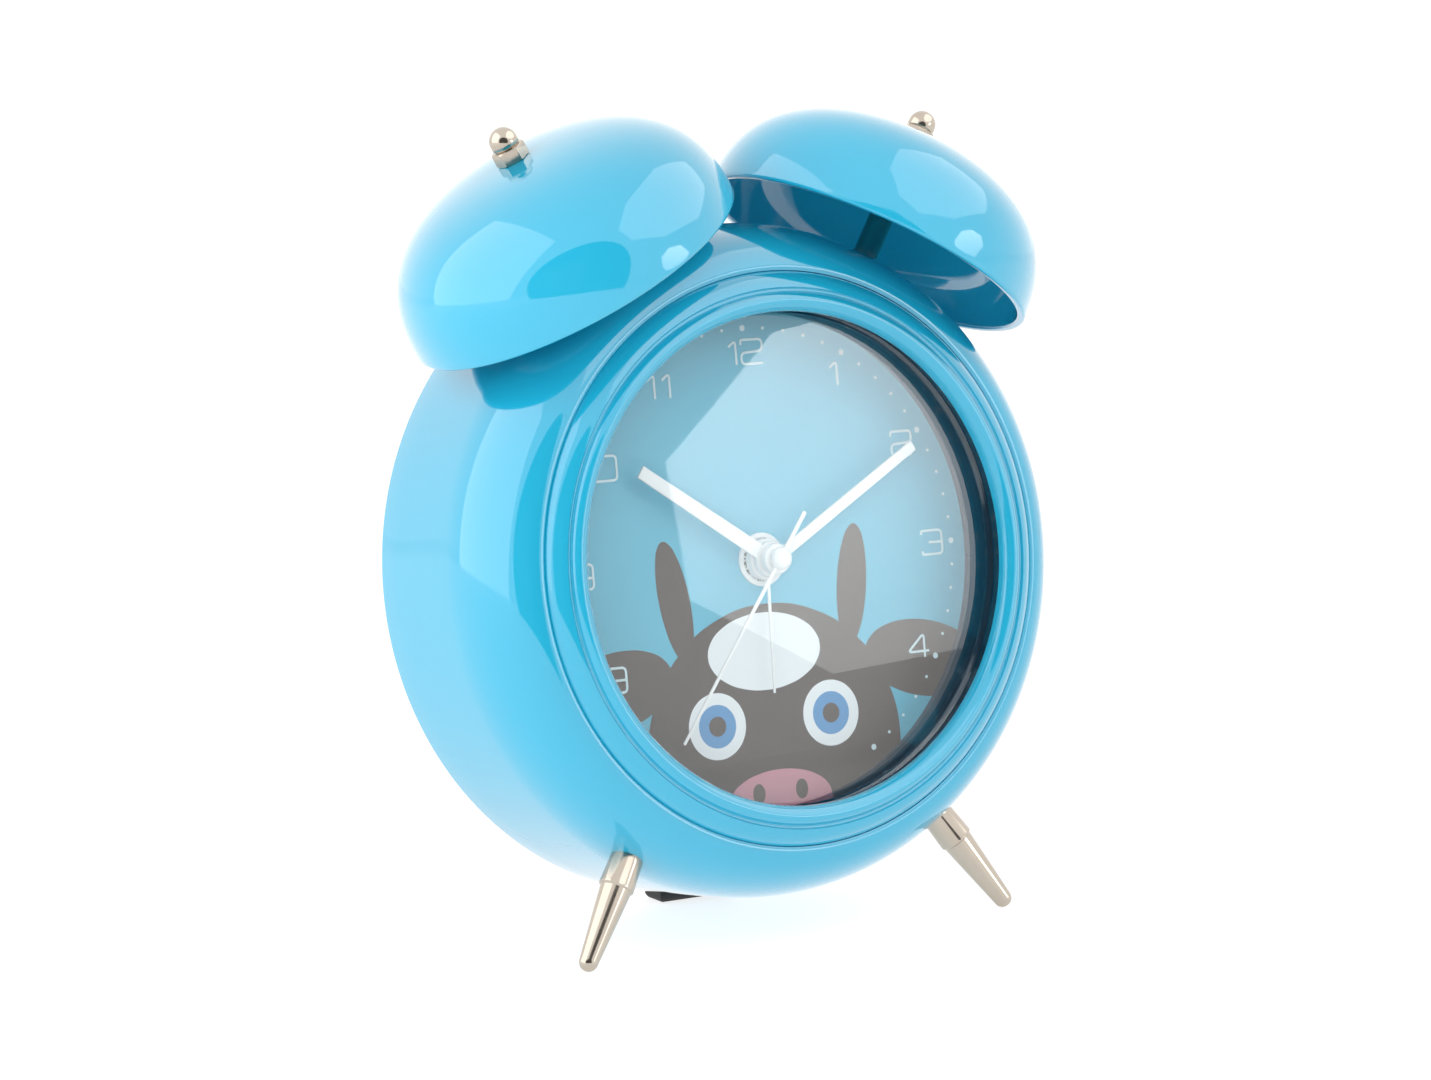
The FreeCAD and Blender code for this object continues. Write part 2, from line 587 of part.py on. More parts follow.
def train_plate():
    half = MOVEMENT_SIZE / 2 - MOVEMENT_WALL - FIT
    back = PLATE_FRONT + PLATE_THICKNESS
    plate = rounded_block(-half, half, PLATE_FRONT, back, -half, half, 2.0)
    third_tip = THIRD_MINUTE_MODULE * (THIRD_PINION / 2 + ADDENDUM)
    holes = [rod(SCREW_RADIUS + FIT, PLATE_FRONT, back, x, z) for x, z in CORNERS]
    holes.append(rod(SECOND_ARBOR[0] + RUNNING, PLATE_FRONT, back))
    holes.append(rod(third_tip + FIT, PLATE_FRONT, back, *THIRD_AT))
    holes += [rod(PIVOT_RADIUS + RUNNING, PLATE_FRONT, back, *place) for place in (FIFTH_AT, ROTOR_AT)]
    holes += [rod(SHAFT_RADIUS + FIT, PLATE_FRONT, back, *place) for place in SHAFTS_AT]
    return plate.cut(holes)


def movement_screws():
    length = MOVEMENT_BACK - MOVEMENT_FRONT + CARRIER_THICKNESS / 2
    return [screw(SCREW_HEAD, SCREW_HEAD_HEIGHT, SCREW_RADIUS, length, x, z, MOVEMENT_BACK)
            for x, z in CORNERS]


def alarm_wheel():
    radius, end = ALARM_TUBE
    wheel = gear(ALARM_WHEEL, ALARM_MODULE, *ALARM_LEVEL, CENTRE, 0)
    back = ALARM_LEVEL[1]
    return joined(wheel, rod(radius, end, back)).cut(rod(HOUR_TUBE[0] + RUNNING, end, back))


def hour_wheel():
    radius, end = HOUR_TUBE
    phase = mesh_phase(MOTION_PINION, 0, HOUR_WHEEL, direction_to(MOTION_AT, CENTRE))
    wheel = gear(HOUR_WHEEL, HOUR_MODULE, *HOUR_LEVEL, CENTRE, phase)
    back = HOUR_LEVEL[1]
    return joined(wheel, rod(radius, end, back)).cut(rod(MINUTE_TUBE[0] + RUNNING, end, back))


def motion_wheel():
    wheel = gear(MOTION_WHEEL, CANNON_MODULE, *MOTION_LEVEL, MOTION_AT, motion_phase())
    pinion = gear(MOTION_PINION, HOUR_MODULE, *MOTION_PINION_LEVEL, MOTION_AT, 0)
    hole = rod(MOTION_STUD + RUNNING, MOTION_PINION_LEVEL[0], MOTION_LEVEL[1], *MOTION_AT)
    return joined(wheel, pinion).cut(hole)


def motion_phase():
    return mesh_phase(CANNON_PINION, 0, MOTION_WHEEL, direction_to(CENTRE, MOTION_AT))


def minute_wheel():
    radius, end = MINUTE_TUBE
    wheel = gear(MINUTE_WHEEL, THIRD_MINUTE_MODULE, *MINUTE_LEVEL, CENTRE, 0)
    cannon = gear(CANNON_PINION, CANNON_MODULE, *CANNON_LEVEL, CENTRE, 0)
    whole = joined(wheel, cannon, rod(radius, end, MINUTE_LEVEL[1]))
    return whole.cut(rod(SECOND_ARBOR[0] + RUNNING, end, MINUTE_LEVEL[1]))


def third_wheel():
    wheel = gear(THIRD_WHEEL, SECOND_THIRD_MODULE, *THIRD_LEVEL, THIRD_AT, 0)
    phase = mesh_phase(MINUTE_WHEEL, 0, THIRD_PINION, direction_to(CENTRE, THIRD_AT))
    pinion = gear(THIRD_PINION, THIRD_MINUTE_MODULE, *THIRD_PINION_LEVEL, THIRD_AT, phase)
    return joined(wheel, pinion, rod(PIVOT_RADIUS, FRONT_SOCKET + FIT, REAR_SOCKET - FIT, *THIRD_AT))


def second_wheel():
    radius, end = SECOND_ARBOR
    wheel = gear(SECOND_WHEEL, FINE_MODULE, *SECOND_LEVEL, CENTRE, 0)
    phase = mesh_phase(THIRD_WHEEL, 0, SECOND_PINION, direction_to(THIRD_AT, CENTRE))
    pinion = gear(SECOND_PINION, SECOND_THIRD_MODULE, *SECOND_PINION_LEVEL, CENTRE, phase)
    arbor = rod(radius, end, SECOND_PINION_LEVEL[0])
    return joined(wheel, pinion, arbor, rod(PIVOT_RADIUS, end, REAR_SOCKET - FIT))


def fifth_wheel():
    wheel = gear(FIFTH_WHEEL, FINE_MODULE, *FIFTH_LEVEL, FIFTH_AT, 0)
    phase = mesh_phase(SECOND_WHEEL, 0, FIFTH_PINION, direction_to(CENTRE, FIFTH_AT))
    pinion = gear(FIFTH_PINION, FINE_MODULE, *FIFTH_PINION_LEVEL, FIFTH_AT, phase)
    return joined(wheel, pinion, rod(PIVOT_RADIUS, PLATE_FRONT + FIT, REAR_SOCKET - FIT, *FIFTH_AT))


def rotor():
    phase = mesh_phase(FIFTH_WHEEL, 0, ROTOR_PINION, direction_to(FIFTH_AT, ROTOR_AT))
    pinion = gear(ROTOR_PINION, FINE_MODULE, *ROTOR_PINION_LEVEL, ROTOR_AT, phase)
    magnet = rod(MAGNET_RADIUS, *MAGNET_LEVEL, *ROTOR_AT)
    collar = rod(ROTOR_COLLAR, ROTOR_PINION_LEVEL[1], MAGNET_LEVEL[0], *ROTOR_AT)
    spindle = rod(PIVOT_RADIUS, PLATE_FRONT + FIT, REAR_SOCKET - FIT, *ROTOR_AT)
    return joined(pinion, collar, magnet, spindle)


def time_shaft():
    phase = mesh_phase(MOTION_WHEEL, motion_phase(), TIME_PINION, direction_to(MOTION_AT, TIME_SHAFT_AT))
    pinion = gear(TIME_PINION, CANNON_MODULE, *CANNON_LEVEL, TIME_SHAFT_AT, phase)
    return joined(pinion, rod(SHAFT_RADIUS, FRONT_SOCKET + FIT, SHAFT_END, *TIME_SHAFT_AT))


def alarm_shaft():
    phase = mesh_phase(ALARM_WHEEL, 0, ALARM_PINION, direction_to(CENTRE, ALARM_SHAFT_AT))
    pinion = gear(ALARM_PINION, ALARM_MODULE, *ALARM_LEVEL, ALARM_SHAFT_AT, phase)
    return joined(pinion, rod(SHAFT_RADIUS, FRONT_SOCKET + FIT, SHAFT_END, *ALARM_SHAFT_AT))


# the motor's iron, coil and circuit board; CORE is (x0, x1, z0, z1) of the bar that carries the coil
CORE = (ROTOR_AT[0] - 12.5, ROTOR_AT[0] + 13.5, ROTOR_AT[1] + 9.6, ROTOR_AT[1] + 12.1)
BOBBIN_WALL = 0.5
COIL_DEPTH = 0.8
FLANGE = 0.8


def stator():
    x0, x1, z0, z1 = CORE
    foot = 3.0
    frame = block(x0, x1, *STATOR_LEVEL, ROTOR_AT[1] - 4.2, z1)
    window = block(x0 + foot, x1 - foot, STATOR_LEVEL[0] - 1, STATOR_LEVEL[1] + 1, ROTOR_AT[1] + 4.2, z0)
    holes = [rod(MAGNET_RADIUS + 0.5, STATOR_LEVEL[0] - 1, STATOR_LEVEL[1] + 1, *ROTOR_AT),
             rod(PIVOT_RADIUS + 0.4, STATOR_LEVEL[0] - 1, STATOR_LEVEL[1] + 1, *FIFTH_AT)]
    return frame.cut([window] + holes)


def around_core(margin, x0, x1):
    """A block round the core bar, `margin` clear of it on all four sides."""
    front, back = STATOR_LEVEL
    return block(x0, x1, front - margin, back + margin, CORE[2] - margin, CORE[3] + margin)


def coil_parts():
    inset = 4.0
    x0, x1 = CORE[0] + inset, CORE[1] - inset
    sleeve = FIT + BOBBIN_WALL
    outer = sleeve + COIL_DEPTH
    core = around_core(FIT, x0, x1)
    bobbin = joined(around_core(sleeve, x0, x1), around_core(outer, x0, x0 + FLANGE),
                    around_core(outer, x1 - FLANGE, x1)).cut(core)
    winding = around_core(outer - FIT, x0 + FLANGE, x1 - FLANGE).cut(around_core(sleeve, x0, x1))
    return {"coil_bobbin": bobbin, "coil_winding": winding}


def movement_board():
    x0, x1, z0, z1 = BOARD_PLACE
    return block(x0, x1, *BOARD_LEVEL, z0, z1)


def quartz_crystal():
    x0, x1, z0, z1 = BOARD_PLACE
    radius = 1.0
    return Part.makeCylinder(radius, 6.0, V(x0 + 2, BOARD_LEVEL[0] - radius, z1 - 2.5), V(1, 0, 0))


def board_chip():
    x0, x1, z0, z1 = BOARD_PLACE
    x, z = (x0 + x1) / 2, (z0 + z1) / 2
    half, height = 2.5, 1.2
    return block(x - half, x + half, BOARD_LEVEL[0] - height, BOARD_LEVEL[0], z - half, z + half)


# ---------------------------------------------------------------- rear cover, battery and controls
def tray_box(margin, front, back):
    """The battery's space grown by `margin`, from `front` to `back`."""
    half = TRAY_LENGTH / 2 + margin
    side = BATTERY_RADIUS + 2 * FIT + margin
    return block(-half, half, front, back, BATTERY_HEIGHT - side, BATTERY_HEIGHT + side)


def rear_cover():
    disc = rod(CASE_INNER - FIT, COVER_FRONT, COVER_BACK)
    floor = BATTERY_DEPTH - BATTERY_RADIUS - FIT
    bore = SPEAKER_RADIUS + FIT
    ring = tube(bore + TRAY_WALL, bore, COVER_FRONT - 3, COVER_FRONT, 0, SPEAKER_HEIGHT)
    posts = [rod(BOARD_POST, SOUND_BOARD_LEVEL[1], COVER_FRONT, *place) for place in BOARD_POSTS]
    solid = joined(disc, tray_box(TRAY_WALL, floor - TRAY_WALL, COVER_FRONT), ring, *posts)
    holes = [tray_box(0, floor, COVER_BACK + 1),
             tray_box(DOOR_LAP, COVER_BACK - DOOR_THICKNESS, COVER_BACK + 1)]
    holes += [rod(SHAFT_RADIUS + 3 * FIT, COVER_FRONT, COVER_BACK, *place) for place in SHAFTS_AT]
    for angle in CLOCK_FACE_ANGLES:
        x, z = on_circle(COVER_SCREW_RADIUS, angle)
        holes.append(rod(SCREW_RADIUS + FIT, COVER_FRONT, COVER_BACK, x, z))
        holes.append(rod(SCREW_HEAD + FIT, COVER_BACK - COVER_SINK, COVER_BACK, x, z))
    holes += [rod(SCREW_RADIUS + FIT, COVER_FRONT, COVER_BACK, *place) for place in FOOT_SCREWS]
    board_back = SOUND_BOARD_LEVEL[1]
    holes += [rod(SCREW_RADIUS + RUNNING, board_back, COVER_FRONT, *place) for place in BOARD_POSTS]
    x, z = SWITCH_PLACE
    reach = SWITCH_NECK / 2 + SWITCH_TRAVEL / 2 + FIT
    holes.append(block(x - 1.3, x + 1.3, COVER_FRONT, COVER_BACK, z - reach, z + reach))
    holes += [rod(GRILLE_HOLE, COVER_FRONT, COVER_BACK, *place) for place in grille_places()]
    return solid.cut(holes)


def grille_places():
    """A hole in the middle and three rings of holes round it, in front of the loudspeaker."""
    places = [(0.0, SPEAKER_HEIGHT)]
    for ring in (1, 2, 3):
        count = 6 * ring
        for k in range(count):
            x, z = on_circle(ring * SPEAKER_RADIUS * 0.26, 360 * k / count)
            places.append((x, SPEAKER_HEIGHT + z))
    return places


def cover_screws():
    face = COVER_BACK - COVER_SINK
    return [screw(SCREW_HEAD, COVER_SINK, SCREW_RADIUS, 9.0, *on_circle(COVER_SCREW_RADIUS, angle), face)
            for angle in CLOCK_FACE_ANGLES]


def battery_door():
    seat = COVER_BACK - DOOR_THICKNESS
    plate = tray_box(DOOR_LAP - FIT, seat, COVER_BACK)
    plug = tray_box(-FIT, BATTERY_DEPTH + BATTERY_RADIUS + 2 * FIT, seat)
    grip = Part.makeCylinder(9.0, 14.0, V(-7, COVER_BACK + 8.2, BATTERY_HEIGHT), V(1, 0, 0))
    return joined(plate, plug).cut(grip)


def battery():
    """An AA cell lying across the clock, with its button at +X."""
    button_radius, button_height = 2.7, 1.2
    end = TRAY_LENGTH / 2 - CONTACT
    start = end - BATTERY_LENGTH
    axis = V(1, 0, 0)
    can = Part.makeCylinder(BATTERY_RADIUS, BATTERY_LENGTH - button_height,
                            V(start, BATTERY_DEPTH, BATTERY_HEIGHT), axis)
    can = can.makeFillet(0.6, [e for e in can.Edges if e.Curve.TypeId == "Part::GeomCircle"])
    button = Part.makeCylinder(button_radius, button_height + 0.4,
                               V(end - button_height - 0.4, BATTERY_DEPTH, BATTERY_HEIGHT), axis)
    return joined(can, button)


def battery_contacts():
    """A plate at each end of the tray, and the leaf spring on the negative one."""
    half = TRAY_LENGTH / 2
    wide, tall = 5.0, 6.0
    span = (BATTERY_DEPTH - wide, BATTERY_DEPTH + wide, BATTERY_HEIGHT - tall, BATTERY_HEIGHT + tall)
    plates = [block(half - CONTACT, half, *span), block(-half, -half + CONTACT, *span)]
    root = -half + CONTACT
    nose = half - CONTACT - BATTERY_LENGTH
    outline = [(root, -5.0), (nose, 0), (root, 5.0), (root, 4.5), (nose - CONTACT, 0), (root, -4.5)]
    points = [V(x, BATTERY_DEPTH - 3, BATTERY_HEIGHT + z) for x, z in outline]
    spring = Part.Face(Part.makePolygon(points + points[:1])).extrude(V(0, 6, 0))
    return {"battery_contacts": plates, "battery_spring": spring}


def knob(place):
    """A round setting knob with finger grooves, pressed on its shaft."""
    front = COVER_BACK + 0.4
    back = front + KNOB_LENGTH
    body = rod(KNOB_RADIUS, front, back, *place)
    body = body.makeChamfer(0.5, [e for e in body.Edges
                                  if e.Curve.TypeId == "Part::GeomCircle" and e.BoundBox.YMin > back - 0.1])
    count = 20
    grooves = []
    for k in range(count):
        x, z = on_circle(KNOB_RADIUS + 0.15, 360 * k / count)
        grooves.append(rod(0.45, front + 1.2, back + 1, place[0] + x, place[1] + z))
    return body.cut(grooves + [rod(SHAFT_RADIUS + PRESS, front, SHAFT_END, *place)])


def alarm_switch_slider():
    """Starts at the lower end of its slot, where the alarm is off."""
    x, z = SWITCH_PLACE
    z -= SWITCH_TRAVEL / 2
    button_front = COVER_BACK + FIT
    button = block(x - 3, x + 3, button_front, button_front + 2.0, z - 2.4, z + 2.4)
    ribs = [block(x - 3, x + 3, button_front + 2.0, button_front + 2.5, z + shift - 0.3, z + shift + 0.3)
            for shift in (-1.6, 0, 1.6)]
    half_neck = SWITCH_NECK / 2
    neck = block(x - 1.2, x + 1.2, COVER_FRONT - 0.4, button_front, z - half_neck, z + half_neck)
    lug = block(x - 0.8, x + 0.8, SWITCH_BODY_BACK - 1.2, COVER_FRONT - 0.4, z - 1.0, z + 1.0)
    return joined(button, neck, lug, *ribs)


def switch_body():
    x, z = SWITCH_PLACE
    body = block(x - 3.6, x + 3.6, SOUND_BOARD_LEVEL[1], SWITCH_BODY_BACK, z - 7, z + 7)
    reach = 1.0 + SWITCH_TRAVEL / 2 + FIT
    return body.cut(block(x - 1.0, x + 1.0, SWITCH_BODY_BACK - 1.4, SWITCH_BODY_BACK, z - reach, z + reach))


def sound_board():
    x0, x1, z0, z1 = SOUND_BOARD_PLACE
    board = block(x0, x1, *SOUND_BOARD_LEVEL, z0, z1)
    return board.cut([rod(SCREW_RADIUS + FIT, *SOUND_BOARD_LEVEL, *place) for place in BOARD_POSTS])


def board_screws():
    face, length = SOUND_BOARD_LEVEL[0], 5.0
    return [turned_round(screw(SCREW_HEAD, SCREW_HEAD_HEIGHT, SCREW_RADIUS, length, x, z, face), face)
            for x, z in BOARD_POSTS]


def turned_round(shape, face):
    """The same screw driven away from the reader, with its head in front of the plane y = face."""
    return shape.mirror(V(0, face, 0), V(0, 1, 0))


def speaker_parts():
    radius, back = SPEAKER_RADIUS, COVER_FRONT
    frame = turned((radius, back - 0.4), (radius, back - 1.2), (radius - 1, back - 1.2),
                   (7.4, back - 5), (3.2, back - 5), (3.2, back - 4.2), (7.1, back - 4.2),
                   (radius - 2, back - 0.6), (radius - 2, back - 0.4))
    cone = turned((radius - 0.2, back - 0.4), (radius - 0.2, back - 0.1), (radius - 2.4, back - 0.1),
                  (4.0, back - 3.0), (0, back - 2.2), (0, back - 2.5), (4.0, back - 3.3),
                  (radius - 2.5, back - 0.4))
    magnet = rod(SPEAKER_MAGNET_RADIUS, back - 8.0, back - 5.0)
    up = V(0, 0, SPEAKER_HEIGHT)
    for shape in (frame, cone, magnet):
        shape.translate(up)
    return {"speaker_frame": frame, "speaker_cone": cone, "speaker_magnet": magnet}


def rear_foot(ground):
    half = FOOT_WIDTH / 2
    back = COVER_BACK + FOOT_REACH
    body = rounded_block(-half, half, COVER_BACK, back, -CASE_RADIUS * 1.3, FOOT_TOP, 3.0)
    body = body.makeFillet(2.0, [e for e in body.Edges if e.BoundBox.YMin > back - 0.01])
    rim = tube(CASE_RADIUS * 2, CASE_INNER - FIT, COVER_BACK - 1, CASE_BACK + FIT)
    holes = [rod(SCREW_RADIUS + RUNNING, COVER_BACK, COVER_BACK + 5.4, *place) for place in FOOT_SCREWS]
    body = body.cut([rim, ground])
    sole = STANDING.inverse().Rotation.multVec(V(0, 0, -1))
    under = [face for face in body.Faces if face.normalAt(0.5, 0.5).isEqual(sole, 1e-6)]
    return body.makeFillet(FOOT_SOLE_ROUND, under[0].Edges).cut(holes)


def foot_screws():
    face, length = COVER_FRONT, 7.0
    return [turned_round(screw(SCREW_HEAD, SCREW_HEAD_HEIGHT, SCREW_RADIUS, length, x, z, face), face)
            for x, z in FOOT_SCREWS]


# ---------------------------------------------------------------- wires inside
def leads():
    """Each route runs from a tray or loudspeaker tab to the sound board."""
    tray_top = BATTERY_HEIGHT + BATTERY_RADIUS + 2 * FIT + TRAY_WALL
    board_back = SOUND_BOARD_LEVEL[1]
    back = COVER_BACK
    battery_leads = []
    for x in (16.0, 20.0):
        battery_leads.append(lead([(x, back - 6.4, tray_top), (x, back - 6.4, tray_top + 5),
                                   (x + 1.5, back - 4.8, -20.5), (x + 1.0, back - 5.4, -11.5),
                                   (x + 1.0, board_back, -11.5)], LEAD_RADIUS))
    speaker_leads = []
    for shift in (0.0, 2.4):
        speaker_leads.append(lead([(7.6 + shift, back - 5.8, 33.0 + shift / 2),
                                   (8.4 + shift, back - 8.2, 29.0), (11.0 + shift, back - 7.8, 24.0),
                                   (14.2 + shift, back - 5.8, 19.6), (17.4 + shift, back - 5.6, 13.0),
                                   (17.4 + shift, board_back, 13.0)], LEAD_RADIUS))
    return {"battery_leads": battery_leads, "speaker_leads": speaker_leads}


# ---------------------------------------------------------------- bells
def bell_lines():
    """The placements of the two studs, left first."""
    return [stud_line(side * BELL_ANGLE, BELL_RAKE, BELL_AXIS_DEPTH) for side in (-1, 1)]


def dome_curve(radius, height, base):
    """Half of a superellipse from the rim to the crown, as one smooth curve."""
    points = []
    steps = 14
    power = 2 / BELL_FULLNESS
    for k in range(steps + 1):
        angle = math.pi / 2 * k / steps
        across, up = max(math.cos(angle), 0) ** power, math.sin(angle) ** power
        points.append(V(radius * across, 0, base + height * up))
    points[-1].x = 0
    curve = Part.BSplineCurve()
    curve.interpolate(Points=points, InitialTangent=V(0, 0, 1), FinalTangent=V(-1, 0, 0))
    return curve.toShape()


def bell():
    inner_radius = BELL_RADIUS - BELL_WALL
    rim, top = BELL_RIM, BELL_RIM + BELL_HEIGHT
    outer = dome_curve(BELL_RADIUS, BELL_HEIGHT, rim)
    inner = dome_curve(inner_radius, BELL_HEIGHT - BELL_WALL, rim)
    edges = [outer, inner, Part.LineSegment(V(BELL_RADIUS, 0, rim), V(inner_radius, 0, rim)).toShape(),
             Part.LineSegment(V(0, 0, top), V(0, 0, top - BELL_WALL)).toShape()]
    shell = Part.Face(Part.Wire(Part.__sortEdges__(edges))).revolve(V(0, 0, 0), V(0, 0, 1), 360)
    rim_edges = [e for e in shell.Edges if e.BoundBox.ZMax < rim + 0.01]
    shell = shell.makeFillet(min(BELL_EDGE_ROUND, BELL_WALL * 0.4), rim_edges)
    return shell.cut(Part.makeCylinder(STUD_HOLE, BELL_WALL * 3, V(0, 0, top - BELL_WALL * 2)))


def stud_parts():
    """The hardware of one bell, on Z."""
    crown = BELL_RIM + BELL_HEIGHT
    boss = SPACER_SEAT - SEAT_BOSS_HEIGHT
    nut_top = boss - WASHER_THICKNESS
    hole = M3_RADIUS + RUNNING
    stud = Part.makeCylinder(M3_RADIUS, crown + ACORN_HEX + 1.2 - nut_top + M3_NUT_THICKNESS + 1,
                             V(0, 0, nut_top - M3_NUT_THICKNESS - 1))
    stud = stud.makeChamfer(0.3, [e for e in stud.Edges if e.Curve.TypeId == "Part::GeomCircle"])
    spacer_top = crown - BELL_WALL - FIT / 10
    spacer = turned_on_stud((STUD_HOLE, SPACER_SEAT), (SPACER_RADIUS, SPACER_SEAT),
                            (SPACER_RADIUS, spacer_top), (STUD_HOLE, spacer_top))
    washer = turned_on_stud((STUD_HOLE, nut_top), (WASHER_RADIUS, nut_top),
                            (WASHER_RADIUS, boss), (STUD_HOLE, boss))
    nut = hexagon(M3_ACROSS_FLATS, nut_top - M3_NUT_THICKNESS, nut_top).cut(
        Part.makeCylinder(hole, M3_NUT_THICKNESS, V(0, 0, nut_top - M3_NUT_THICKNESS)))
    corner = M3_ACROSS_FLATS / math.sqrt(3)
    dome_centre = crown + ACORN_HEIGHT - ACORN_DOME_RADIUS
    slope = (corner - M3_ACROSS_FLATS / 2) * math.tan(math.radians(30))
    face = M3_ACROSS_FLATS / 2 + FIT
    cone = turned_on_stud((0, crown), (face, crown), (corner, crown + slope),
                          (corner, crown + ACORN_HEX - slope), (face, crown + ACORN_HEX),
                          (0, crown + ACORN_HEX))
    diagonal = ACORN_DOME_RADIUS * math.sqrt(0.5)
    dome = turned_on_stud((0, crown + ACORN_HEX - 0.5), (ACORN_DOME_RADIUS, crown + ACORN_HEX - 0.5),
                          (ACORN_DOME_RADIUS, dome_centre),
                          ((diagonal, dome_centre + diagonal), (0, crown + ACORN_HEIGHT)))
    acorn = joined(hexagon(M3_ACROSS_FLATS, crown, crown + ACORN_HEX).common(cone), dome)
    acorn = acorn.cut(Part.makeCylinder(hole, ACORN_HEX + 1.4, V(0, 0, crown)))
    return {"bell_studs": stud, "bell_spacers": spacer, "stud_washers": washer, "stud_nuts": nut,
            "acorn_nuts": acorn}


# ---------------------------------------------------------------- legs
def leg_lines():
    return [stud_line(180 - side * LEG_ANGLE, LEG_RAKE, LEG_AXIS_DEPTH) for side in (-1, 1)]


def leg():
    step = 0.35
    tip = LEG_END - LEG_TIP_RADIUS
    diagonal = LEG_TIP_RADIUS * math.sqrt(0.5)
    body = turned_on_stud((0, LEG_SEAT), (LEG_TOP_RADIUS, LEG_SEAT), (LEG_RIDGE_RADIUS, LEG_RIDGE - 0.3),
                          (LEG_RIDGE_RADIUS, LEG_RIDGE), (LEG_RIDGE_RADIUS - step, LEG_RIDGE + step),
                          (LEG_TIP_RADIUS, tip), ((diagonal, tip + diagonal), (0, LEG_END)))
    return body.cut(Part.makeCylinder(M3_RADIUS + RUNNING, LEG_SCREW_REACH + 1, V(0, 0, LEG_SEAT)))


def leg_screw():
    face = LEG_SEAT - SEAT_BOSS_HEIGHT
    head_radius, head_height = 2.75, 2.2
    head = Part.makeCylinder(head_radius, head_height, V(0, 0, face - head_height))
    head = head.makeFillet(0.8, [e for e in head.Edges if e.BoundBox.ZMax < face - head_height + 0.01])
    head = head.cut(hexagon(2.0, face - head_height, face - head_height + 1.2))
    return joined(head, Part.makeCylinder(M3_RADIUS, SEAT_BOSS_HEIGHT + LEG_SCREW_REACH, V(0, 0, face)))


def tip_height(line):
    """The lowest point of a leg's round tip, once the clock leans back."""
    centre = line.multVec(V(0, 0, LEG_END - LEG_TIP_RADIUS))
    return STANDING.multVec(centre).z - LEG_TIP_RADIUS


# ---------------------------------------------------------------- the whole clock
STANDING = FreeCAD.Placement(V(0, 0, 0), FreeCAD.Rotation(V(1, 0, 0), -LEAN))


def build():
    """Every node, standing, with the middle of the underside of its bounding box at the origin."""
    floor_height = min(tip_height(line) for line in leg_lines())
    below = block(-200, 200, -200, 200, floor_height - 100, floor_height)
    ground = placed(below, STANDING.inverse())
    nodes = {
        "case_shell": case_shell(), "bezel_ring": bezel_ring(), "lens": lens(), "dial_ring": dial_ring(),
        "dial_plate": dial_plate(), "dial_carrier": dial_carrier(), "carrier_screws": carrier_screws(),
        "hour_hand": hour_hand(), "minute_hand": minute_hand(), "second_hand": second_hand(),
        "alarm_hand": alarm_hand(), "movement_front_case": movement_front_case(),
        "movement_back_case": movement_back_case(), "train_plate": train_plate(),
        "movement_screws": movement_screws(), "alarm_wheel": alarm_wheel(), "hour_wheel": hour_wheel(),
        "motion_wheel": motion_wheel(), "minute_wheel": minute_wheel(), "third_wheel": third_wheel(),
        "second_wheel": second_wheel(), "fifth_wheel": fifth_wheel(), "rotor": rotor(),
        "time_shaft": time_shaft(), "alarm_shaft": alarm_shaft(), "stator": stator(),
        "movement_board": movement_board(), "quartz_crystal": quartz_crystal(), "board_chip": board_chip(),
        "rear_cover": rear_cover(), "cover_screws": cover_screws(),
        "battery_door": battery_door(), "battery": battery(), "time_knob": knob(TIME_SHAFT_AT),
        "alarm_knob": knob(ALARM_SHAFT_AT), "alarm_switch_slider": alarm_switch_slider(),
        "switch_body": switch_body(), "sound_board": sound_board(), "board_screws": board_screws(),
        "rear_foot": rear_foot(ground), "foot_screws": foot_screws(),
    }
    for group in (coil_parts(), battery_contacts(), speaker_parts(), leads()):
        nodes.update(group)
    for side, bell_line, leg_line in zip(("left", "right"), bell_lines(), leg_lines()):
        nodes["bell_" + side] = placed(bell(), bell_line)
        nodes["leg_" + side] = placed(leg(), leg_line)
    for name, shape in stud_parts().items():
        nodes[name] = [placed(shape, line) for line in bell_lines()]
    nodes["leg_screws"] = [placed(leg_screw(), line) for line in leg_lines()]

    standing = {}
    for name, shape in nodes.items():
        shape = Part.makeCompound(shape) if isinstance(shape, list) else shape
        standing[name] = placed(shape, STANDING)
    box = FreeCAD.BoundBox()
    for shape in standing.values():
        box.add(shape.optimalBoundingBox(False, False))
    home = FreeCAD.Placement(V(-box.Center.x, -box.Center.y, -box.ZMin), FreeCAD.Rotation())
    return {name: placed(shape, home) for name, shape in standing.items()}, box, home


NODES, BOX, HOME = build()
os.makedirs("parts", exist_ok=True)
for name in sorted(NODES):
    NODES[name].exportStep("parts/" + name + ".step")
print(len(NODES), "nodes,", sum(len(shape.Solids) for shape in NODES.values()), "solids")
print("size", [round(value, 2) for value in (BOX.XLength, BOX.YLength, BOX.ZLength)])
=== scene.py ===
# %% [markdown]
# # A twin-bell alarm clock
# The clock is a moulded drum that leans back on two turned legs and a rubber foot, with two plastic
# bells on studs, a printed dial under a domed lens, and four hands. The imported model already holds
# every part at its true place, so this file starts from it and adds what a maker would see: smooth
# turned skins, the print on the dial, and the finish of each material.

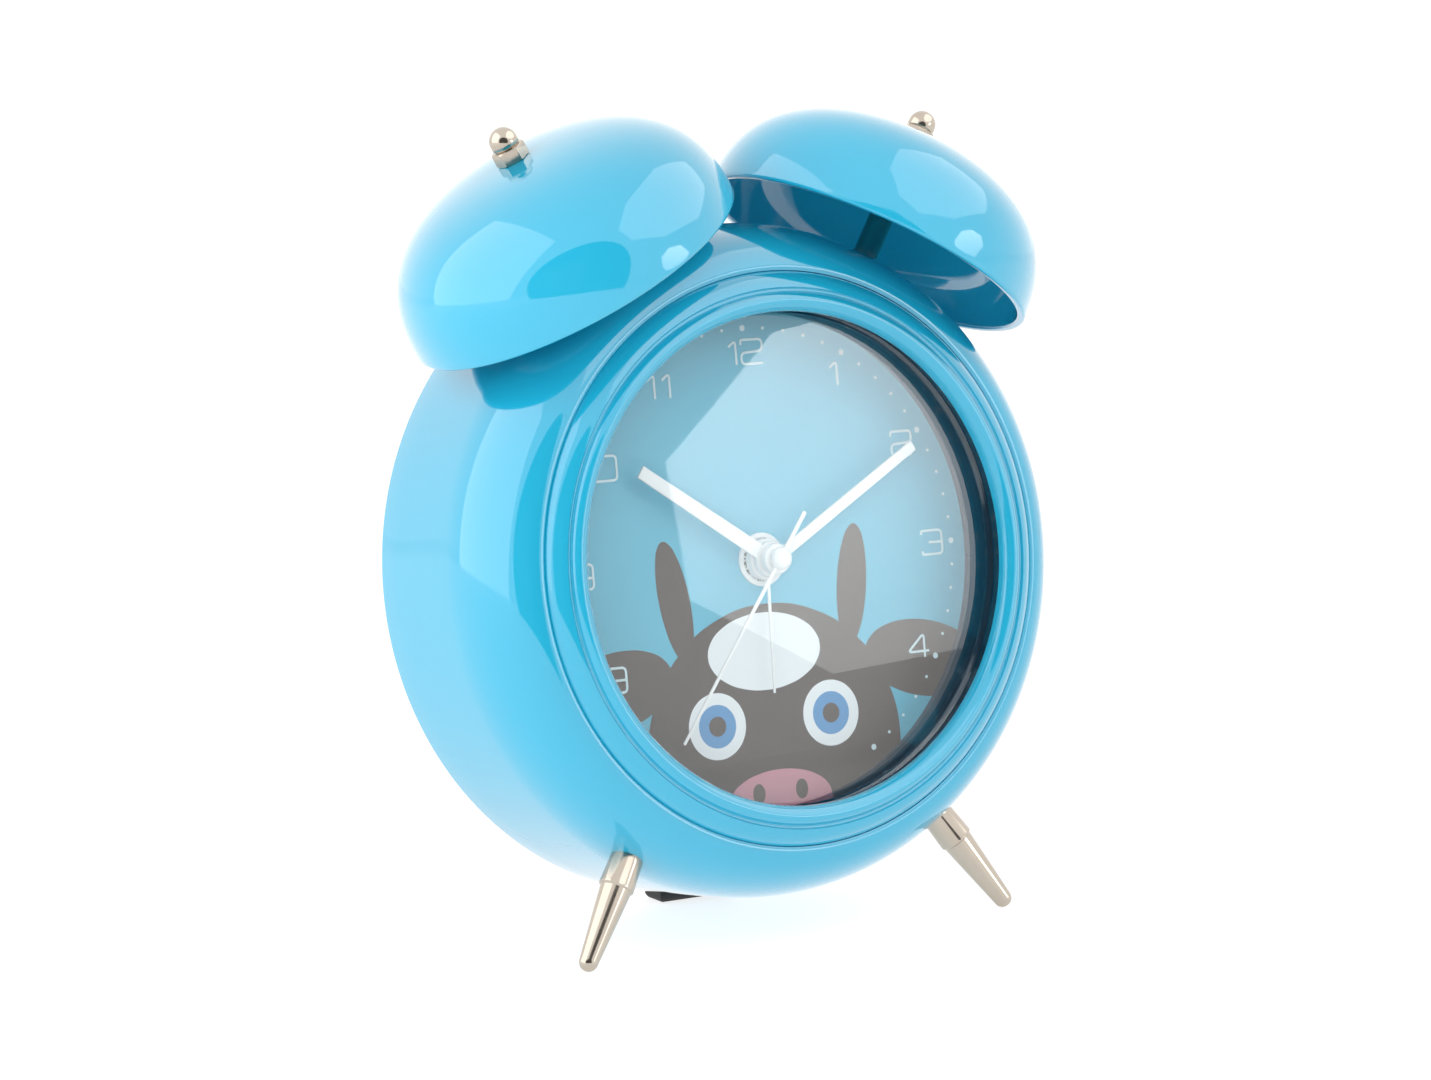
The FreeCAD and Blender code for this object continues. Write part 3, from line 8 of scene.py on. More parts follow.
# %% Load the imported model
import math
import bpy
from mathutils import Matrix, Vector
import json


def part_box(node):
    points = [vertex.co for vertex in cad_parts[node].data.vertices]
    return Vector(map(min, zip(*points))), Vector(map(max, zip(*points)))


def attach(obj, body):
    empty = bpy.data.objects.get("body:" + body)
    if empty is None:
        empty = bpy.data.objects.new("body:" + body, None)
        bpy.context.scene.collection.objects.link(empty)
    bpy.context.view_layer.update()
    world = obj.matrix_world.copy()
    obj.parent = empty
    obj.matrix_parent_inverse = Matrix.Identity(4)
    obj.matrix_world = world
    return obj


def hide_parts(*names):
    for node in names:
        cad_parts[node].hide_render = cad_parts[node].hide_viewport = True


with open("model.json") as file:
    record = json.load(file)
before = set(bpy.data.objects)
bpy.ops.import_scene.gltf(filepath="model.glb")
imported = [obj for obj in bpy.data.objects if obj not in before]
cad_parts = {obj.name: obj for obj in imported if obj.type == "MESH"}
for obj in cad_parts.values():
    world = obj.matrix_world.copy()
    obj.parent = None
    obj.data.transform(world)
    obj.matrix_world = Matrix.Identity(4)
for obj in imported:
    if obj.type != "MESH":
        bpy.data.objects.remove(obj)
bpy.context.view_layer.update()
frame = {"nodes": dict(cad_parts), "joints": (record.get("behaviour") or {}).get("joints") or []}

# %% [markdown]
# ## The clock's own directions
# The dial leans back, so its parts are easiest to model upright, facing the reader, and to lean
# back at the end. The minute hand's joint gives the line that runs straight into the dial, and the
# dial plate's box gives the dial's middle. One matrix then takes a piece from the upright clock,
# in millimetres, to its place.

# %% Find the dial and its lean
MM = 0.001
JOINTS = {joint["name"]: joint for joint in frame["joints"]}
INTO = Vector(JOINTS["minute_turn"]["axis"])
LEAN = math.atan2(-INTO.z, INTO.y)
DIAL_MIDDLE = 13.7                      # depth of the middle of the dial plate's thickness
dial_low, dial_high = (Vector(corner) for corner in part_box("dial_plate"))
ORIGIN = (dial_low + dial_high) / 2 - INTO * DIAL_MIDDLE * MM
STAND = Matrix.Translation(ORIGIN) @ Matrix.Rotation(-LEAN, 4, "X") @ Matrix.Scale(MM, 4)
FACE_ON = STAND @ Matrix.Rotation(math.radians(-90), 4, "X")     # local Z runs into the dial
ON_DIAL = STAND @ Matrix.Rotation(math.radians(90), 4, "X")      # local XY is the dial as read
print("lean, degrees:", round(math.degrees(LEAN), 2), "origin, mm:", [round(1000 * c, 2) for c in ORIGIN])


def stud_place(angle, rake, depth):
    """The place of a part on a stud: local Z runs outward along it, from the dial's centre line."""
    a, r = math.radians(angle), math.radians(rake)
    outward = Vector((math.sin(a) * math.cos(r), -math.sin(r), math.cos(a) * math.cos(r)))
    return STAND @ Matrix.Translation((0, depth, 0)) @ outward.to_track_quat("Z", "Y").to_matrix().to_4x4()


# %% [markdown]
# ## Small helpers
# Most parts of a clock are turned on a lathe or moulded round an axis. Such a part is one outline
# of (radius, height) points, made by extruding a single vertex from point to point and spinning
# it. A helper does this once, and merges the seam and the poles before it turns the faces outward.

# %% Helpers for shapes
TURNS = 192                             # steps in a full spin: fine enough for a smooth edge


def start_alone():
    """Leaves object mode with nothing selected, so that the next operator acts on the new piece only."""
    if bpy.context.object and bpy.context.object.mode != "OBJECT":
        bpy.ops.object.mode_set(mode="OBJECT")
    bpy.ops.object.select_all(action="DESELECT")


def only(piece):
    """Selects this piece and nothing else."""
    start_alone()
    piece.select_set(True)
    bpy.context.view_layer.objects.active = piece


def settle(piece, place):
    """Moves the piece to its place and puts that place in its mesh."""
    only(piece)
    piece.matrix_world = place @ piece.matrix_world
    bpy.ops.object.transform_apply(location=True, rotation=True, scale=True)


def smooth(piece, angle=35):
    """Smooth shading, with a crisp line wherever two faces meet at more than this angle."""
    only(piece)
    bpy.ops.object.shade_smooth_by_angle(angle=math.radians(angle))


def arc(start, middle, end, count=10):
    """Points on the circle through three points, from just after the start to the end."""
    (ax, ay), (bx, by), (cx, cy) = start, middle, end
    d = 2 * (ax * (by - cy) + bx * (cy - ay) + cx * (ay - by))
    ux = ((ax**2 + ay**2) * (by - cy) + (bx**2 + by**2) * (cy - ay) + (cx**2 + cy**2) * (ay - by)) / d
    uy = ((ax**2 + ay**2) * (cx - bx) + (bx**2 + by**2) * (ax - cx) + (cx**2 + cy**2) * (bx - ax)) / d
    radius = math.hypot(ax - ux, ay - uy)
    first, mid, last = (math.atan2(y - uy, x - ux) for x, y in (start, middle, end))
    turn = (last - first) % (2 * math.pi)
    if (mid - first) % (2 * math.pi) > turn:
        turn -= 2 * math.pi
    angles = [first + turn * k / count for k in range(1, count + 1)]
    return [(ux + radius * math.cos(t), uy + radius * math.sin(t)) for t in angles]


def spun(name, outline, place, closed=True, turns=TURNS, crisp=35):
    """Spins an outline of (radius, height) points round local Z. A closed one comes back to its start."""
    start_alone()
    bpy.ops.mesh.primitive_plane_add(size=1)
    piece = bpy.context.object
    piece.name = piece.data.name = name
    bpy.ops.object.mode_set(mode="EDIT")
    bpy.ops.mesh.select_all(action="SELECT")
    bpy.ops.mesh.merge(type="CENTER")
    path = list(outline) + (list(outline[:1]) if closed else [])
    bpy.ops.transform.translate(value=(path[0][0], 0, path[0][1]))
    for (x0, z0), (x1, z1) in zip(path, path[1:]):
        bpy.ops.mesh.extrude_vertices_move(TRANSFORM_OT_translate={"value": (x1 - x0, 0, z1 - z0)})
    bpy.ops.mesh.select_all(action="SELECT")
    bpy.ops.mesh.spin(steps=turns, angle=2 * math.pi, center=(0, 0, 0), axis=(0, 0, 1))
    bpy.ops.mesh.select_all(action="SELECT")
    bpy.ops.mesh.remove_doubles(threshold=0.001)
    bpy.ops.mesh.dissolve_degenerate(threshold=0.0005)
    bpy.ops.mesh.select_all(action="SELECT")
    bpy.ops.mesh.normals_make_consistent(inside=False)
    bpy.ops.object.mode_set(mode="OBJECT")
    settle(piece, place)
    smooth(piece, crisp)
    print(name, "faces:", len(piece.data.polygons))
    return piece


# %% [markdown]
# ## Small helpers for finishes
# A colour is picked as the eye sees it, in sRGB, but a shader works with linear light, so one
# function turns hex codes to linear values. One more adds a node with its settings and its links.

# %% Helpers for finishes
def hex_colour(code):
    """An sRGB hex colour as the linear values that a shader socket takes."""
    parts = [int(code[at:at + 2], 16) / 255 for at in (1, 3, 5)]
    return (*[c / 12.92 if c <= 0.04045 else ((c + 0.055) / 1.055) ** 2.4 for c in parts], 1.0)


def add_node(tree, kind, inputs=(), **settings):
    """Adds one node. An input given as (node, output) is linked, and any other is set as a value."""
    node = tree.nodes.new(kind)
    for name, value in settings.items():
        setattr(node, name, value)
    for socket, value in dict(inputs).items():
        if isinstance(value, tuple) and isinstance(value[0], bpy.types.Node):
            tree.links.new(value[0].outputs[value[1]], node.inputs[socket])
        else:
            node.inputs[socket].default_value = value
    return node


def new_finish(name):
    """An empty node material and its tree."""
    finish = bpy.data.materials.new(name)
    finish.use_nodes = True
    finish.node_tree.nodes.clear()
    return finish, finish.node_tree


def per_metre(size_mm):
    """The Scale of a noise or wave whose features are this many millimetres across."""
    return 1.0 / (size_mm * MM)


def moulded(name, deep, light, roughness, grain_mm, grain_height_mm, ior=1.5, coat=0.0, cloud_mm=30.0,
            metallic=0.0, rough_spread=0.04):
    """Most finishes here: two close colours that drift across the piece, a roughness that drifts with
    finer marks, and a fine relief. The sizes are real ones, in millimetres."""
    finish, tree = new_finish(name)
    where = add_node(tree, "ShaderNodeTexCoord")
    drift = add_node(tree, "ShaderNodeTexNoise",
                     {"Vector": (where, "Object"), "Scale": per_metre(cloud_mm), "Detail": 3.0})
    colour = add_node(tree, "ShaderNodeMix", {0: (drift, "Fac"), 6: hex_colour(deep), 7: hex_colour(light)},
                      data_type="RGBA")
    marks = add_node(tree, "ShaderNodeTexNoise",
                     {"Vector": (where, "Object"), "Scale": per_metre(grain_mm * 6), "Detail": 4.0})
    rough = add_node(tree, "ShaderNodeMapRange",
                     {"Value": (marks, "Fac"), "To Min": roughness - rough_spread,
                      "To Max": roughness + rough_spread})
    grain = add_node(tree, "ShaderNodeTexNoise",
                     {"Vector": (where, "Object"), "Scale": per_metre(grain_mm), "Detail": 2.0})
    relief = add_node(tree, "ShaderNodeBump",
                      {"Height": (grain, "Fac"), "Strength": 1.0, "Distance": grain_height_mm * MM})
    skin = add_node(tree, "ShaderNodeBsdfPrincipled",
                    {"Base Color": (colour, 2), "Roughness": (rough, "Result"), "Normal": (relief, "Normal"),
                     "Metallic": metallic, "Coat Weight": coat, "Coat Roughness": 0.03})
    if not metallic:
        skin.inputs["IOR"].default_value = ior
    add_node(tree, "ShaderNodeOutputMaterial", {"Surface": (skin, "BSDF")})
    return finish


# %% [markdown]
# ## Finishes
# The drum, bezel and bells are gloss ABS, injection-moulded in a polished tool: the colour is in the
# plastic, and the mirror-like skin shows the studio's soft boxes. ABS has an index of about 1.54.
# The bells are the same plastic, painted a little lighter as painted light for their brighter domes.

# %% Blue ABS
BLUE_ABS = moulded("gloss blue ABS, moulded", "#1BA2C6", "#20A7CA", 0.07, 0.5, 0.0006, ior=1.54,
                   coat=1.0, rough_spread=0.02)
# The bell blue is the drum's blue painted a little lighter: painted light standing in for the white
# reflection on the domes.
BELL_ABS_PAINTED_LIGHTER = moulded("gloss blue ABS bell, moulded", "#1FA7CB", "#24ACCF", 0.07, 0.5, 0.0006, ior=1.54,
                   coat=1.0, rough_spread=0.02)

# %% [markdown]
# The lens is clear styrene or acrylic, index about 1.49. It lets the lamps through to the dial, so
# shadow rays meet a plain transparent surface instead of refracting glass.

# %% Clear lens
CLEAR_LENS, tree = new_finish("clear acrylic, polished")
lens_where = add_node(tree, "ShaderNodeTexCoord")
lens_marks = add_node(tree, "ShaderNodeTexNoise",
                      {"Vector": (lens_where, "Object"), "Scale": per_metre(2.0), "Detail": 3.0})
lens_rough = add_node(tree, "ShaderNodeMapRange",
                      {"Value": (lens_marks, "Fac"), "To Min": 0.0, "To Max": 0.012})
lens_glass = add_node(tree, "ShaderNodeBsdfPrincipled",
                      {"Base Color": hex_colour("#FBFEFF"), "Roughness": (lens_rough, "Result"),
                       "IOR": 1.49, "Transmission Weight": 1.0})
lens_open = add_node(tree, "ShaderNodeBsdfTransparent", {"Color": hex_colour("#F4F9FA")})
lens_path = add_node(tree, "ShaderNodeLightPath")
lens_mix = add_node(tree, "ShaderNodeMixShader",
                    {0: (lens_path, "Is Shadow Ray"), 1: (lens_glass, "BSDF"), 2: (lens_open, "BSDF")})
add_node(tree, "ShaderNodeOutputMaterial", {"Surface": (lens_mix, "Shader")})

# %% [markdown]
# The legs, spacers and acorn nuts are steel with a bright nickel plate: a warm, slightly yellow
# metal with a few soft drawing marks from the lathe.

# %% Metals
NICKEL = moulded("bright nickel plate on turned steel", "#B4A99B", "#C4BBAF", 0.11, 0.35, 0.0012,
                 metallic=1.0, cloud_mm=6.0)
ZINC = moulded("zinc plated steel", "#B4B8BC", "#CDD1D3", 0.32, 0.25, 0.003, metallic=1.0, cloud_mm=3.0)
BRASS = moulded("rolled brass", "#C9A04E", "#DDBB6C", 0.24, 0.2, 0.002, metallic=1.0, cloud_mm=4.0)
IRON = moulded("annealed electrical iron", "#7C7B78", "#94928D", 0.38, 0.2, 0.004, metallic=1.0, cloud_mm=3.0)
TIN = moulded("tin plated spring steel", "#C9CCCE", "#DEE0E0", 0.28, 0.3, 0.002, metallic=1.0, cloud_mm=5.0)
FERRITE = moulded("sintered ferrite magnet", "#2B2B2D", "#3A393B", 0.5, 0.15, 0.01, cloud_mm=2.0)

# %% Plastics, paper and rubber
# Dark gloss plastic; its petrol-blue tint is a painted reflection of the blue around it.
DARK_RING_PAINTED_BLUE = moulded("dark styrene, gloss, painted blue reflection", "#06293A", "#0A3347", 0.10, 0.5, 0.0006, ior=1.55,
                    rough_spread=0.02)
WHITE_HANDS = moulded("white lacquer on aluminium", "#E9EAEA", "#F3F3F2", 0.34, 0.15, 0.001, ior=1.48)
BLACK_PLASTIC = moulded("black ABS, spark-eroded texture", "#131415", "#1B1C1E", 0.46, 0.28, 0.02, ior=1.54)
BLACK_RUBBER = moulded("black moulded rubber", "#0E0E0F", "#171718", 0.6, 0.22, 0.02, ior=1.52)
WHITE_PLASTIC = moulded("white acetal, moulded", "#E4E3DC", "#EFEEE8", 0.36, 0.3, 0.003, ior=1.48)
CHIP = moulded("black chip epoxy", "#101112", "#1C1D1E", 0.42, 0.12, 0.006)
WIRE = moulded("red PVC wire insulation", "#9E1B18", "#B0241F", 0.38, 0.4, 0.003, cloud_mm=8.0)
CONE = moulded("pressed paper cone", "#2A2825", "#38352F", 0.8, 0.12, 0.02)

# %% Circuit board, copper winding and battery wrap
def banded(name, first, second, band_mm, direction, roughness, metallic=0.0):
    """A finish with regular bands, such as the turns of a winding or the tracks of a board."""
    finish, tree = new_finish(name)
    where = add_node(tree, "ShaderNodeTexCoord")
    bands = add_node(tree, "ShaderNodeTexWave",
                     {"Vector": (where, "Object"), "Scale": per_metre(band_mm) / 20 * math.pi,
                      "Distortion": 0.4, "Detail": 1.0}, bands_direction=direction)
    colour = add_node(tree, "ShaderNodeMix", {0: (bands, "Fac"), 6: hex_colour(first), 7: hex_colour(second)},
                      data_type="RGBA")
    relief = add_node(tree, "ShaderNodeBump",
                      {"Height": (bands, "Fac"), "Strength": 0.6, "Distance": band_mm * MM * 0.3})
    skin = add_node(tree, "ShaderNodeBsdfPrincipled",
                    {"Base Color": (colour, 2), "Roughness": roughness, "Normal": (relief, "Normal"),
                     "Metallic": metallic})
    add_node(tree, "ShaderNodeOutputMaterial", {"Surface": (skin, "BSDF")})
    return finish


COPPER = banded("enamelled copper winding", "#8F4A22", "#C9733A", 0.12, "X", 0.3, metallic=1.0)
BOARD = banded("green solder mask on glass epoxy", "#1D5A34", "#2B7446", 1.4, "DIAGONAL", 0.35)
CELL_WRAP = banded("printed battery sleeve", "#A8341C", "#2A2A2C", 24.0, "X", 0.28)

# %% [markdown]
# ## The print on the dial
# The dial is a card or thin sheet with a screen-printed picture. Ink is matt to satin, and shows the
# fine tooth of the sheet.

# %% Inks
def ink(name, deep, light):
    return moulded(name, deep, light, 0.5, 0.12, 0.002, ior=1.47, cloud_mm=14.0)


DIAL_BLUE = ink("screen ink, light blue", "#5EB3CC", "#64B9D1")
INK_BROWN = ink("screen ink, warm grey", "#554C47", "#5A514C")
INK_WHITE = ink("screen ink, white", "#E6EAEC", "#EDF0F1")
INK_NUMBER = ink("screen ink, pale white", "#D3E9EE", "#DDF0F4")
INK_IRIS = ink("screen ink, iris blue", "#5B95C6", "#6099CA")
INK_PINK = ink("screen ink, pink", "#CE909E", "#D497A5")

FINISHES = {
    "case_plastic": BLUE_ABS, "bell_plastic": BELL_ABS_PAINTED_LIGHTER, "clear_lens": CLEAR_LENS,
    "dark_ring_plastic": DARK_RING_PAINTED_BLUE, "printed_dial": DIAL_BLUE, "white_hands": WHITE_HANDS,
    "nickel_plate": NICKEL, "zinc_steel": ZINC, "black_rubber": BLACK_RUBBER,
    "black_plastic": BLACK_PLASTIC, "white_plastic": WHITE_PLASTIC, "brass": BRASS,
    "copper_wire": COPPER, "motor_iron": IRON, "magnet": FERRITE, "circuit_board": BOARD,
    "chip_epoxy": CHIP, "tin_plate": TIN, "cell_wrap": CELL_WRAP, "paper_cone": CONE,
    "wire_insulation": WIRE,
}

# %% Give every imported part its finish
for node in frame["nodes"].values():
    for place in node.material_slots:
        place.material = FINISHES[place.material.name.split(".")[0]]
print("finishes:", len(FINISHES))


def finished(piece, finish, body, replaces=()):
    """Gives a piece its finish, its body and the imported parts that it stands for."""
    piece.data.materials.clear()
    piece.data.materials.append(finish)
    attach(piece, body)
    if replaces:
        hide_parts(*replaces)
    return piece


# %% [markdown]
# ## The drum
# The case is one moulding: a barrel with a rounded shoulder in front, a small round at its rear
# edge, and a hollow inside. Its front ends in a flat lip that the bezel sits on. A quarter of an
# ellipse gives the shoulder, so the light rolls over it without a break.

# %% Drum
CASE_RADIUS, CASE_INNER, SHOULDER_EDGE, SHOULDER_FRONT, SHOULDER_BACK = 61.2, 59.2, 51.4, 1.3, 19.0
LIP_FRONT, LIP_BACK, LIP_BORE, CASE_BACK, REAR_ROUND = 2.6, 4.8, 48.1, 44.6, 1.9


def shoulder(front, radius, count=28):
    """A quarter ellipse from the front edge to where the side runs straight."""
    wide, deep = radius - SHOULDER_EDGE, SHOULDER_BACK - front
    turns = [math.pi / 2 * k / count for k in range(count + 1)]
    return [(SHOULDER_EDGE + wide * math.sin(t), SHOULDER_BACK - deep * math.cos(t)) for t in turns]


bend = REAR_ROUND * (1 - math.sqrt(0.5))
EDGE_SOFTENING = 0.25
drum_outline = [(LIP_BORE, LIP_FRONT), (SHOULDER_EDGE, LIP_FRONT),
                (SHOULDER_EDGE, SHOULDER_FRONT + EDGE_SOFTENING)]
drum_outline += shoulder(SHOULDER_FRONT, CASE_RADIUS)[1:]
drum_outline += [(CASE_RADIUS, depth) for depth in (25.0, 31.0, 37.0, CASE_BACK - REAR_ROUND)]
drum_outline += arc((CASE_RADIUS, CASE_BACK - REAR_ROUND), (CASE_RADIUS - bend, CASE_BACK - bend),
                    (CASE_RADIUS - REAR_ROUND, CASE_BACK))
drum_outline += [(CASE_INNER, CASE_BACK), (CASE_INNER, 32.0)]
drum_outline += shoulder(LIP_BACK, CASE_INNER)[::-1] + [(LIP_BORE, LIP_BACK)]
drum = spun("drum", drum_outline, FACE_ON)
finished(drum, BLUE_ABS, "clock_body", ["case_shell"])

# %% [markdown]
# ## The bezel
# The bezel is a turned-looking ring with two beads and a fine line between them. The inner bead is
# the tall one. Each bead is drawn with arcs, and its plug goes back into the drum round the dark
# ring. Its outer edge comes close to the drum's lip, so only a hairline shows between them.

# %% Bezel
BEZEL_EDGE = 51.42
bezel_outline = [(44.0, 0.0)]
for first, through, last in (((44.0, 0.0), (44.7, -1.365), (45.9, -1.95)),
                             ((45.9, -1.95), (46.75, -1.638), (47.35, -0.878)),
                             ((47.35, -0.878), (47.72, -0.6), (48.1, -0.741))):
    bezel_outline += arc(first, through, last, 14)
bezel_outline += [(48.25, -0.975)]
bezel_outline += arc((48.25, -0.975), (50.0, -0.098), (BEZEL_EDGE, 1.95), 18)
bezel_outline += [(BEZEL_EDGE, 2.55), (48.0, 2.55), (48.0, 8.0), (46.0, 8.0), (46.0, 0.8), (44.0, 0.8)]
bezel = spun("bezel", bezel_outline, FACE_ON, crisp=50)
finished(bezel, BLUE_ABS, "clock_body", ["bezel_ring"])

# %% [markdown]
# ## The dark ring and the lens
# Between the bezel and the dial is a deep ring of dark gloss plastic. Its petrol-blue tint is a
# painted reflection of the blue parts round it. The lens, a thin cap of a large sphere, is glued on a
# ledge inside it. Its rings of faces are close together, because a clear part shows every facet
# twice: as a reflection and as a bend in what lies behind it.

# %% Dark ring
ring_outline = [(45.9, 0.95), (45.75, 0.8), (44.95, 0.8), (44.8, 0.95), (44.8, 5.0), (44.1, 5.0), (44.0, 5.1),
                (44.0, 5.9), (44.1, 6.0), (44.8, 6.0), (44.8, 13.4), (45.9, 13.4)]
dark_ring = spun("dark_ring", ring_outline, FACE_ON)
finished(dark_ring, DARK_RING_PAINTED_BLUE, "clock_body", ["dial_ring"])

# %% Lens
LENS_RIM, LENS_FRONT, LENS_RISE, LENS_THICK = 44.7, 3.6, 1.2, 1.4
LENS_STEPS = 40
sphere = (LENS_RIM**2 + LENS_RISE**2) / (2 * LENS_RISE)
radii = [LENS_RIM * k / LENS_STEPS for k in range(LENS_STEPS + 1)]
cap = [(r, LENS_FRONT - LENS_RISE + sphere - math.sqrt(sphere**2 - r**2)) for r in radii]
lens_outline = cap + [(r, depth + LENS_THICK) for r, depth in reversed(cap)]
lens = spun("lens_cap", lens_outline, FACE_ON, closed=False)
finished(lens, CLEAR_LENS, "clock_body", ["lens"])

# %% [markdown]
# ## The bells
# Each bell is a deep plastic dome. Its section is a superellipse, fuller than an ellipse, and the
# wall is an even thickness, so the inside is the same curve a little smaller. The rim is rounded
# over. The bell is modelled on its stud's own line, and a matrix leans it into place.

# %% Bells
BELL_RADIUS, BELL_HEIGHT, BELL_WALL, BELL_FULLNESS, BELL_RIM = 31.8, 23.4, 1.6, 2.5, 62.4
BELL_ANGLE, BELL_RAKE, BELL_DEPTH, STUD_HOLE, RIM_ROUND = 30.0, 5.0, 22.9, 1.6, 0.5


def dome(radius, height, count=60):
    """Points of the superellipse from the rim up to the stud hole."""
    points = []
    for k in range(count + 1):
        t = math.pi / 2 * k / count
        across, up = max(math.cos(t), 0.0) ** (2 / BELL_FULLNESS), math.sin(t) ** (2 / BELL_FULLNESS)
        points.append((radius * across, BELL_RIM + height * up))
    return [point for point in points if point[0] > STUD_HOLE]


outside = [p for p in dome(BELL_RADIUS, BELL_HEIGHT) if p[1] > BELL_RIM + RIM_ROUND]
inside = [p for p in dome(BELL_RADIUS - BELL_WALL, BELL_HEIGHT - BELL_WALL) if p[1] > BELL_RIM + RIM_ROUND]
crown = BELL_RIM + BELL_HEIGHT
inner_rim = BELL_RADIUS - BELL_WALL
corner = RIM_ROUND * (1 - math.sqrt(0.5))
rim = [(inner_rim, BELL_RIM + RIM_ROUND)]
rim += arc((inner_rim, BELL_RIM + RIM_ROUND), (inner_rim + corner, BELL_RIM + corner),
           (inner_rim + RIM_ROUND, BELL_RIM), 5)
rim += [(BELL_RADIUS - RIM_ROUND, BELL_RIM)]
rim += arc((BELL_RADIUS - RIM_ROUND, BELL_RIM), (BELL_RADIUS - corner, BELL_RIM + corner),
           (BELL_RADIUS, BELL_RIM + RIM_ROUND), 5)
bell_outline = rim + outside + [(STUD_HOLE, crown), (STUD_HOLE, crown - BELL_WALL)] + inside[::-1]
for side, tag in ((-1, "left"), (1, "right")):
    bell = spun(f"bell_{tag}_shell", bell_outline, stud_place(side * BELL_ANGLE, BELL_RAKE, BELL_DEPTH))
    finished(bell, BELL_ABS_PAINTED_LIGHTER, "clock_body", [f"bell_{tag}"])

# %% [markdown]
# ## The bells' spacers and acorn nuts
# A nickel tube holds each bell off the drum, and an acorn nut holds it down on its stud. The nut is
# a hexagon whose corners the lathe has cut back, with a turned dome on top. The hexagon starts as a
# six-sided cylinder, and a Boolean with a turned blank gives it those curved corners.

# %% Spacers
SPACER_RADIUS, SPACER_SEAT = 2.3, 61.0
for side, tag in ((-1, "left"), (1, "right")):
    place = stud_place(side * BELL_ANGLE, BELL_RAKE, BELL_DEPTH)
    top = crown - BELL_WALL - 0.01
    spacer_outline = [(1.6, SPACER_SEAT), (2.1, SPACER_SEAT), (SPACER_RADIUS, SPACER_SEAT + 0.2),
                      (SPACER_RADIUS, 70.0), (SPACER_RADIUS, 78.0), (SPACER_RADIUS, top - 0.2),
                      (2.1, top), (1.6, top)]
    spacer = spun(f"spacer_{tag}", spacer_outline, place, turns=64)
    finished(spacer, NICKEL, "clock_body", ["bell_spacers"])

# %% Acorn nuts
ACROSS_FLATS, HEX_HIGH, NUT_HIGH, DOME_RADIUS = 5.5, 2.6, 6.4, 2.55
hex_corner = ACROSS_FLATS / math.sqrt(3)
slope = (hex_corner - ACROSS_FLATS / 2) * math.tan(math.radians(30))
for side, tag in ((-1, "left"), (1, "right")):
    start_alone()
    bpy.ops.mesh.primitive_cylinder_add(vertices=6, radius=hex_corner, depth=HEX_HIGH,
                                        location=(0, 0, crown + HEX_HIGH / 2))
    nut = bpy.context.object
    nut.name = f"acorn_nut_{tag}"
    soften = nut.modifiers.new("soft edges", "BEVEL")
    soften.width, soften.segments = 0.12, 3
    bpy.ops.object.modifier_apply(modifier="soft edges")
    flat = ACROSS_FLATS / 2 + 0.05
    blank = spun("nut_blank", [(0, crown - 1), (flat, crown - 1), (flat, crown), (hex_corner, crown + slope),
                               (hex_corner, crown + HEX_HIGH - slope), (flat, crown + HEX_HIGH),
                               (0, crown + HEX_HIGH)], Matrix.Identity(4), closed=False, turns=96)
    only(nut)
    corners = nut.modifiers.new("lathe-cut corners", "BOOLEAN")
    corners.operation, corners.object, corners.solver = "INTERSECT", blank, "EXACT"
    bpy.ops.object.modifier_apply(modifier="lathe-cut corners")
    bpy.data.objects.remove(blank)
    dome_low, dome_middle = crown + HEX_HIGH - 0.5, crown + NUT_HIGH - DOME_RADIUS
    dome_outline = [(0, dome_low), (DOME_RADIUS - 0.3, dome_low),
                    (DOME_RADIUS - 0.3, crown + HEX_HIGH + 0.05),
                    (DOME_RADIUS - 0.12, crown + HEX_HIGH + 0.25), (DOME_RADIUS, crown + HEX_HIGH + 0.5),
                    (DOME_RADIUS, dome_middle)]
    diagonal = DOME_RADIUS * math.sqrt(0.5)
    dome_outline += arc((DOME_RADIUS, dome_middle), (diagonal, dome_middle + diagonal),
                        (0, crown + NUT_HIGH), 16)
    nut_dome = spun("nut_dome", dome_outline, Matrix.Identity(4), closed=False, turns=96)
    only(nut)
    nut_dome.select_set(True)
    bpy.ops.object.join()
    settle(nut, stud_place(side * BELL_ANGLE, BELL_RAKE, BELL_DEPTH) @ Matrix.Rotation(0.35, 4, "Z"))
    smooth(nut, 30)
    finished(nut, NICKEL, "clock_body", ["acorn_nuts"])

# %% [markdown]
# ## The legs
# The legs are turned from steel bar: a short collar at the drum, a raised edge, and a long taper
# down to a rounded tip. The edges are broken with small chamfers, which catch a thin line of light.

# %% Legs
LEG_ANGLE, LEG_RAKE, LEG_DEPTH = 33.7, 8.0, 21.0
LEG_SEAT, LEG_RIDGE, LEG_END, LEG_TIP = 60.2, 66.7, 82.9, 1.75
tip = LEG_END - LEG_TIP
leg_outline = [(0, LEG_SEAT), (2.85, LEG_SEAT), (2.95, LEG_SEAT + 0.1), (3.0, 61.5), (3.19, LEG_RIDGE - 0.4),
               (3.2, LEG_RIDGE - 0.3), (3.2, LEG_RIDGE), (3.12, LEG_RIDGE + 0.12), (2.85, LEG_RIDGE + 0.35),
               (2.5, LEG_RIDGE + 5.0), (2.15, LEG_RIDGE + 9.5), (LEG_TIP, tip)]
tip_diagonal = LEG_TIP * math.sqrt(0.5)
leg_outline += arc((LEG_TIP, tip), (tip_diagonal, tip + tip_diagonal), (0, LEG_END), 12)
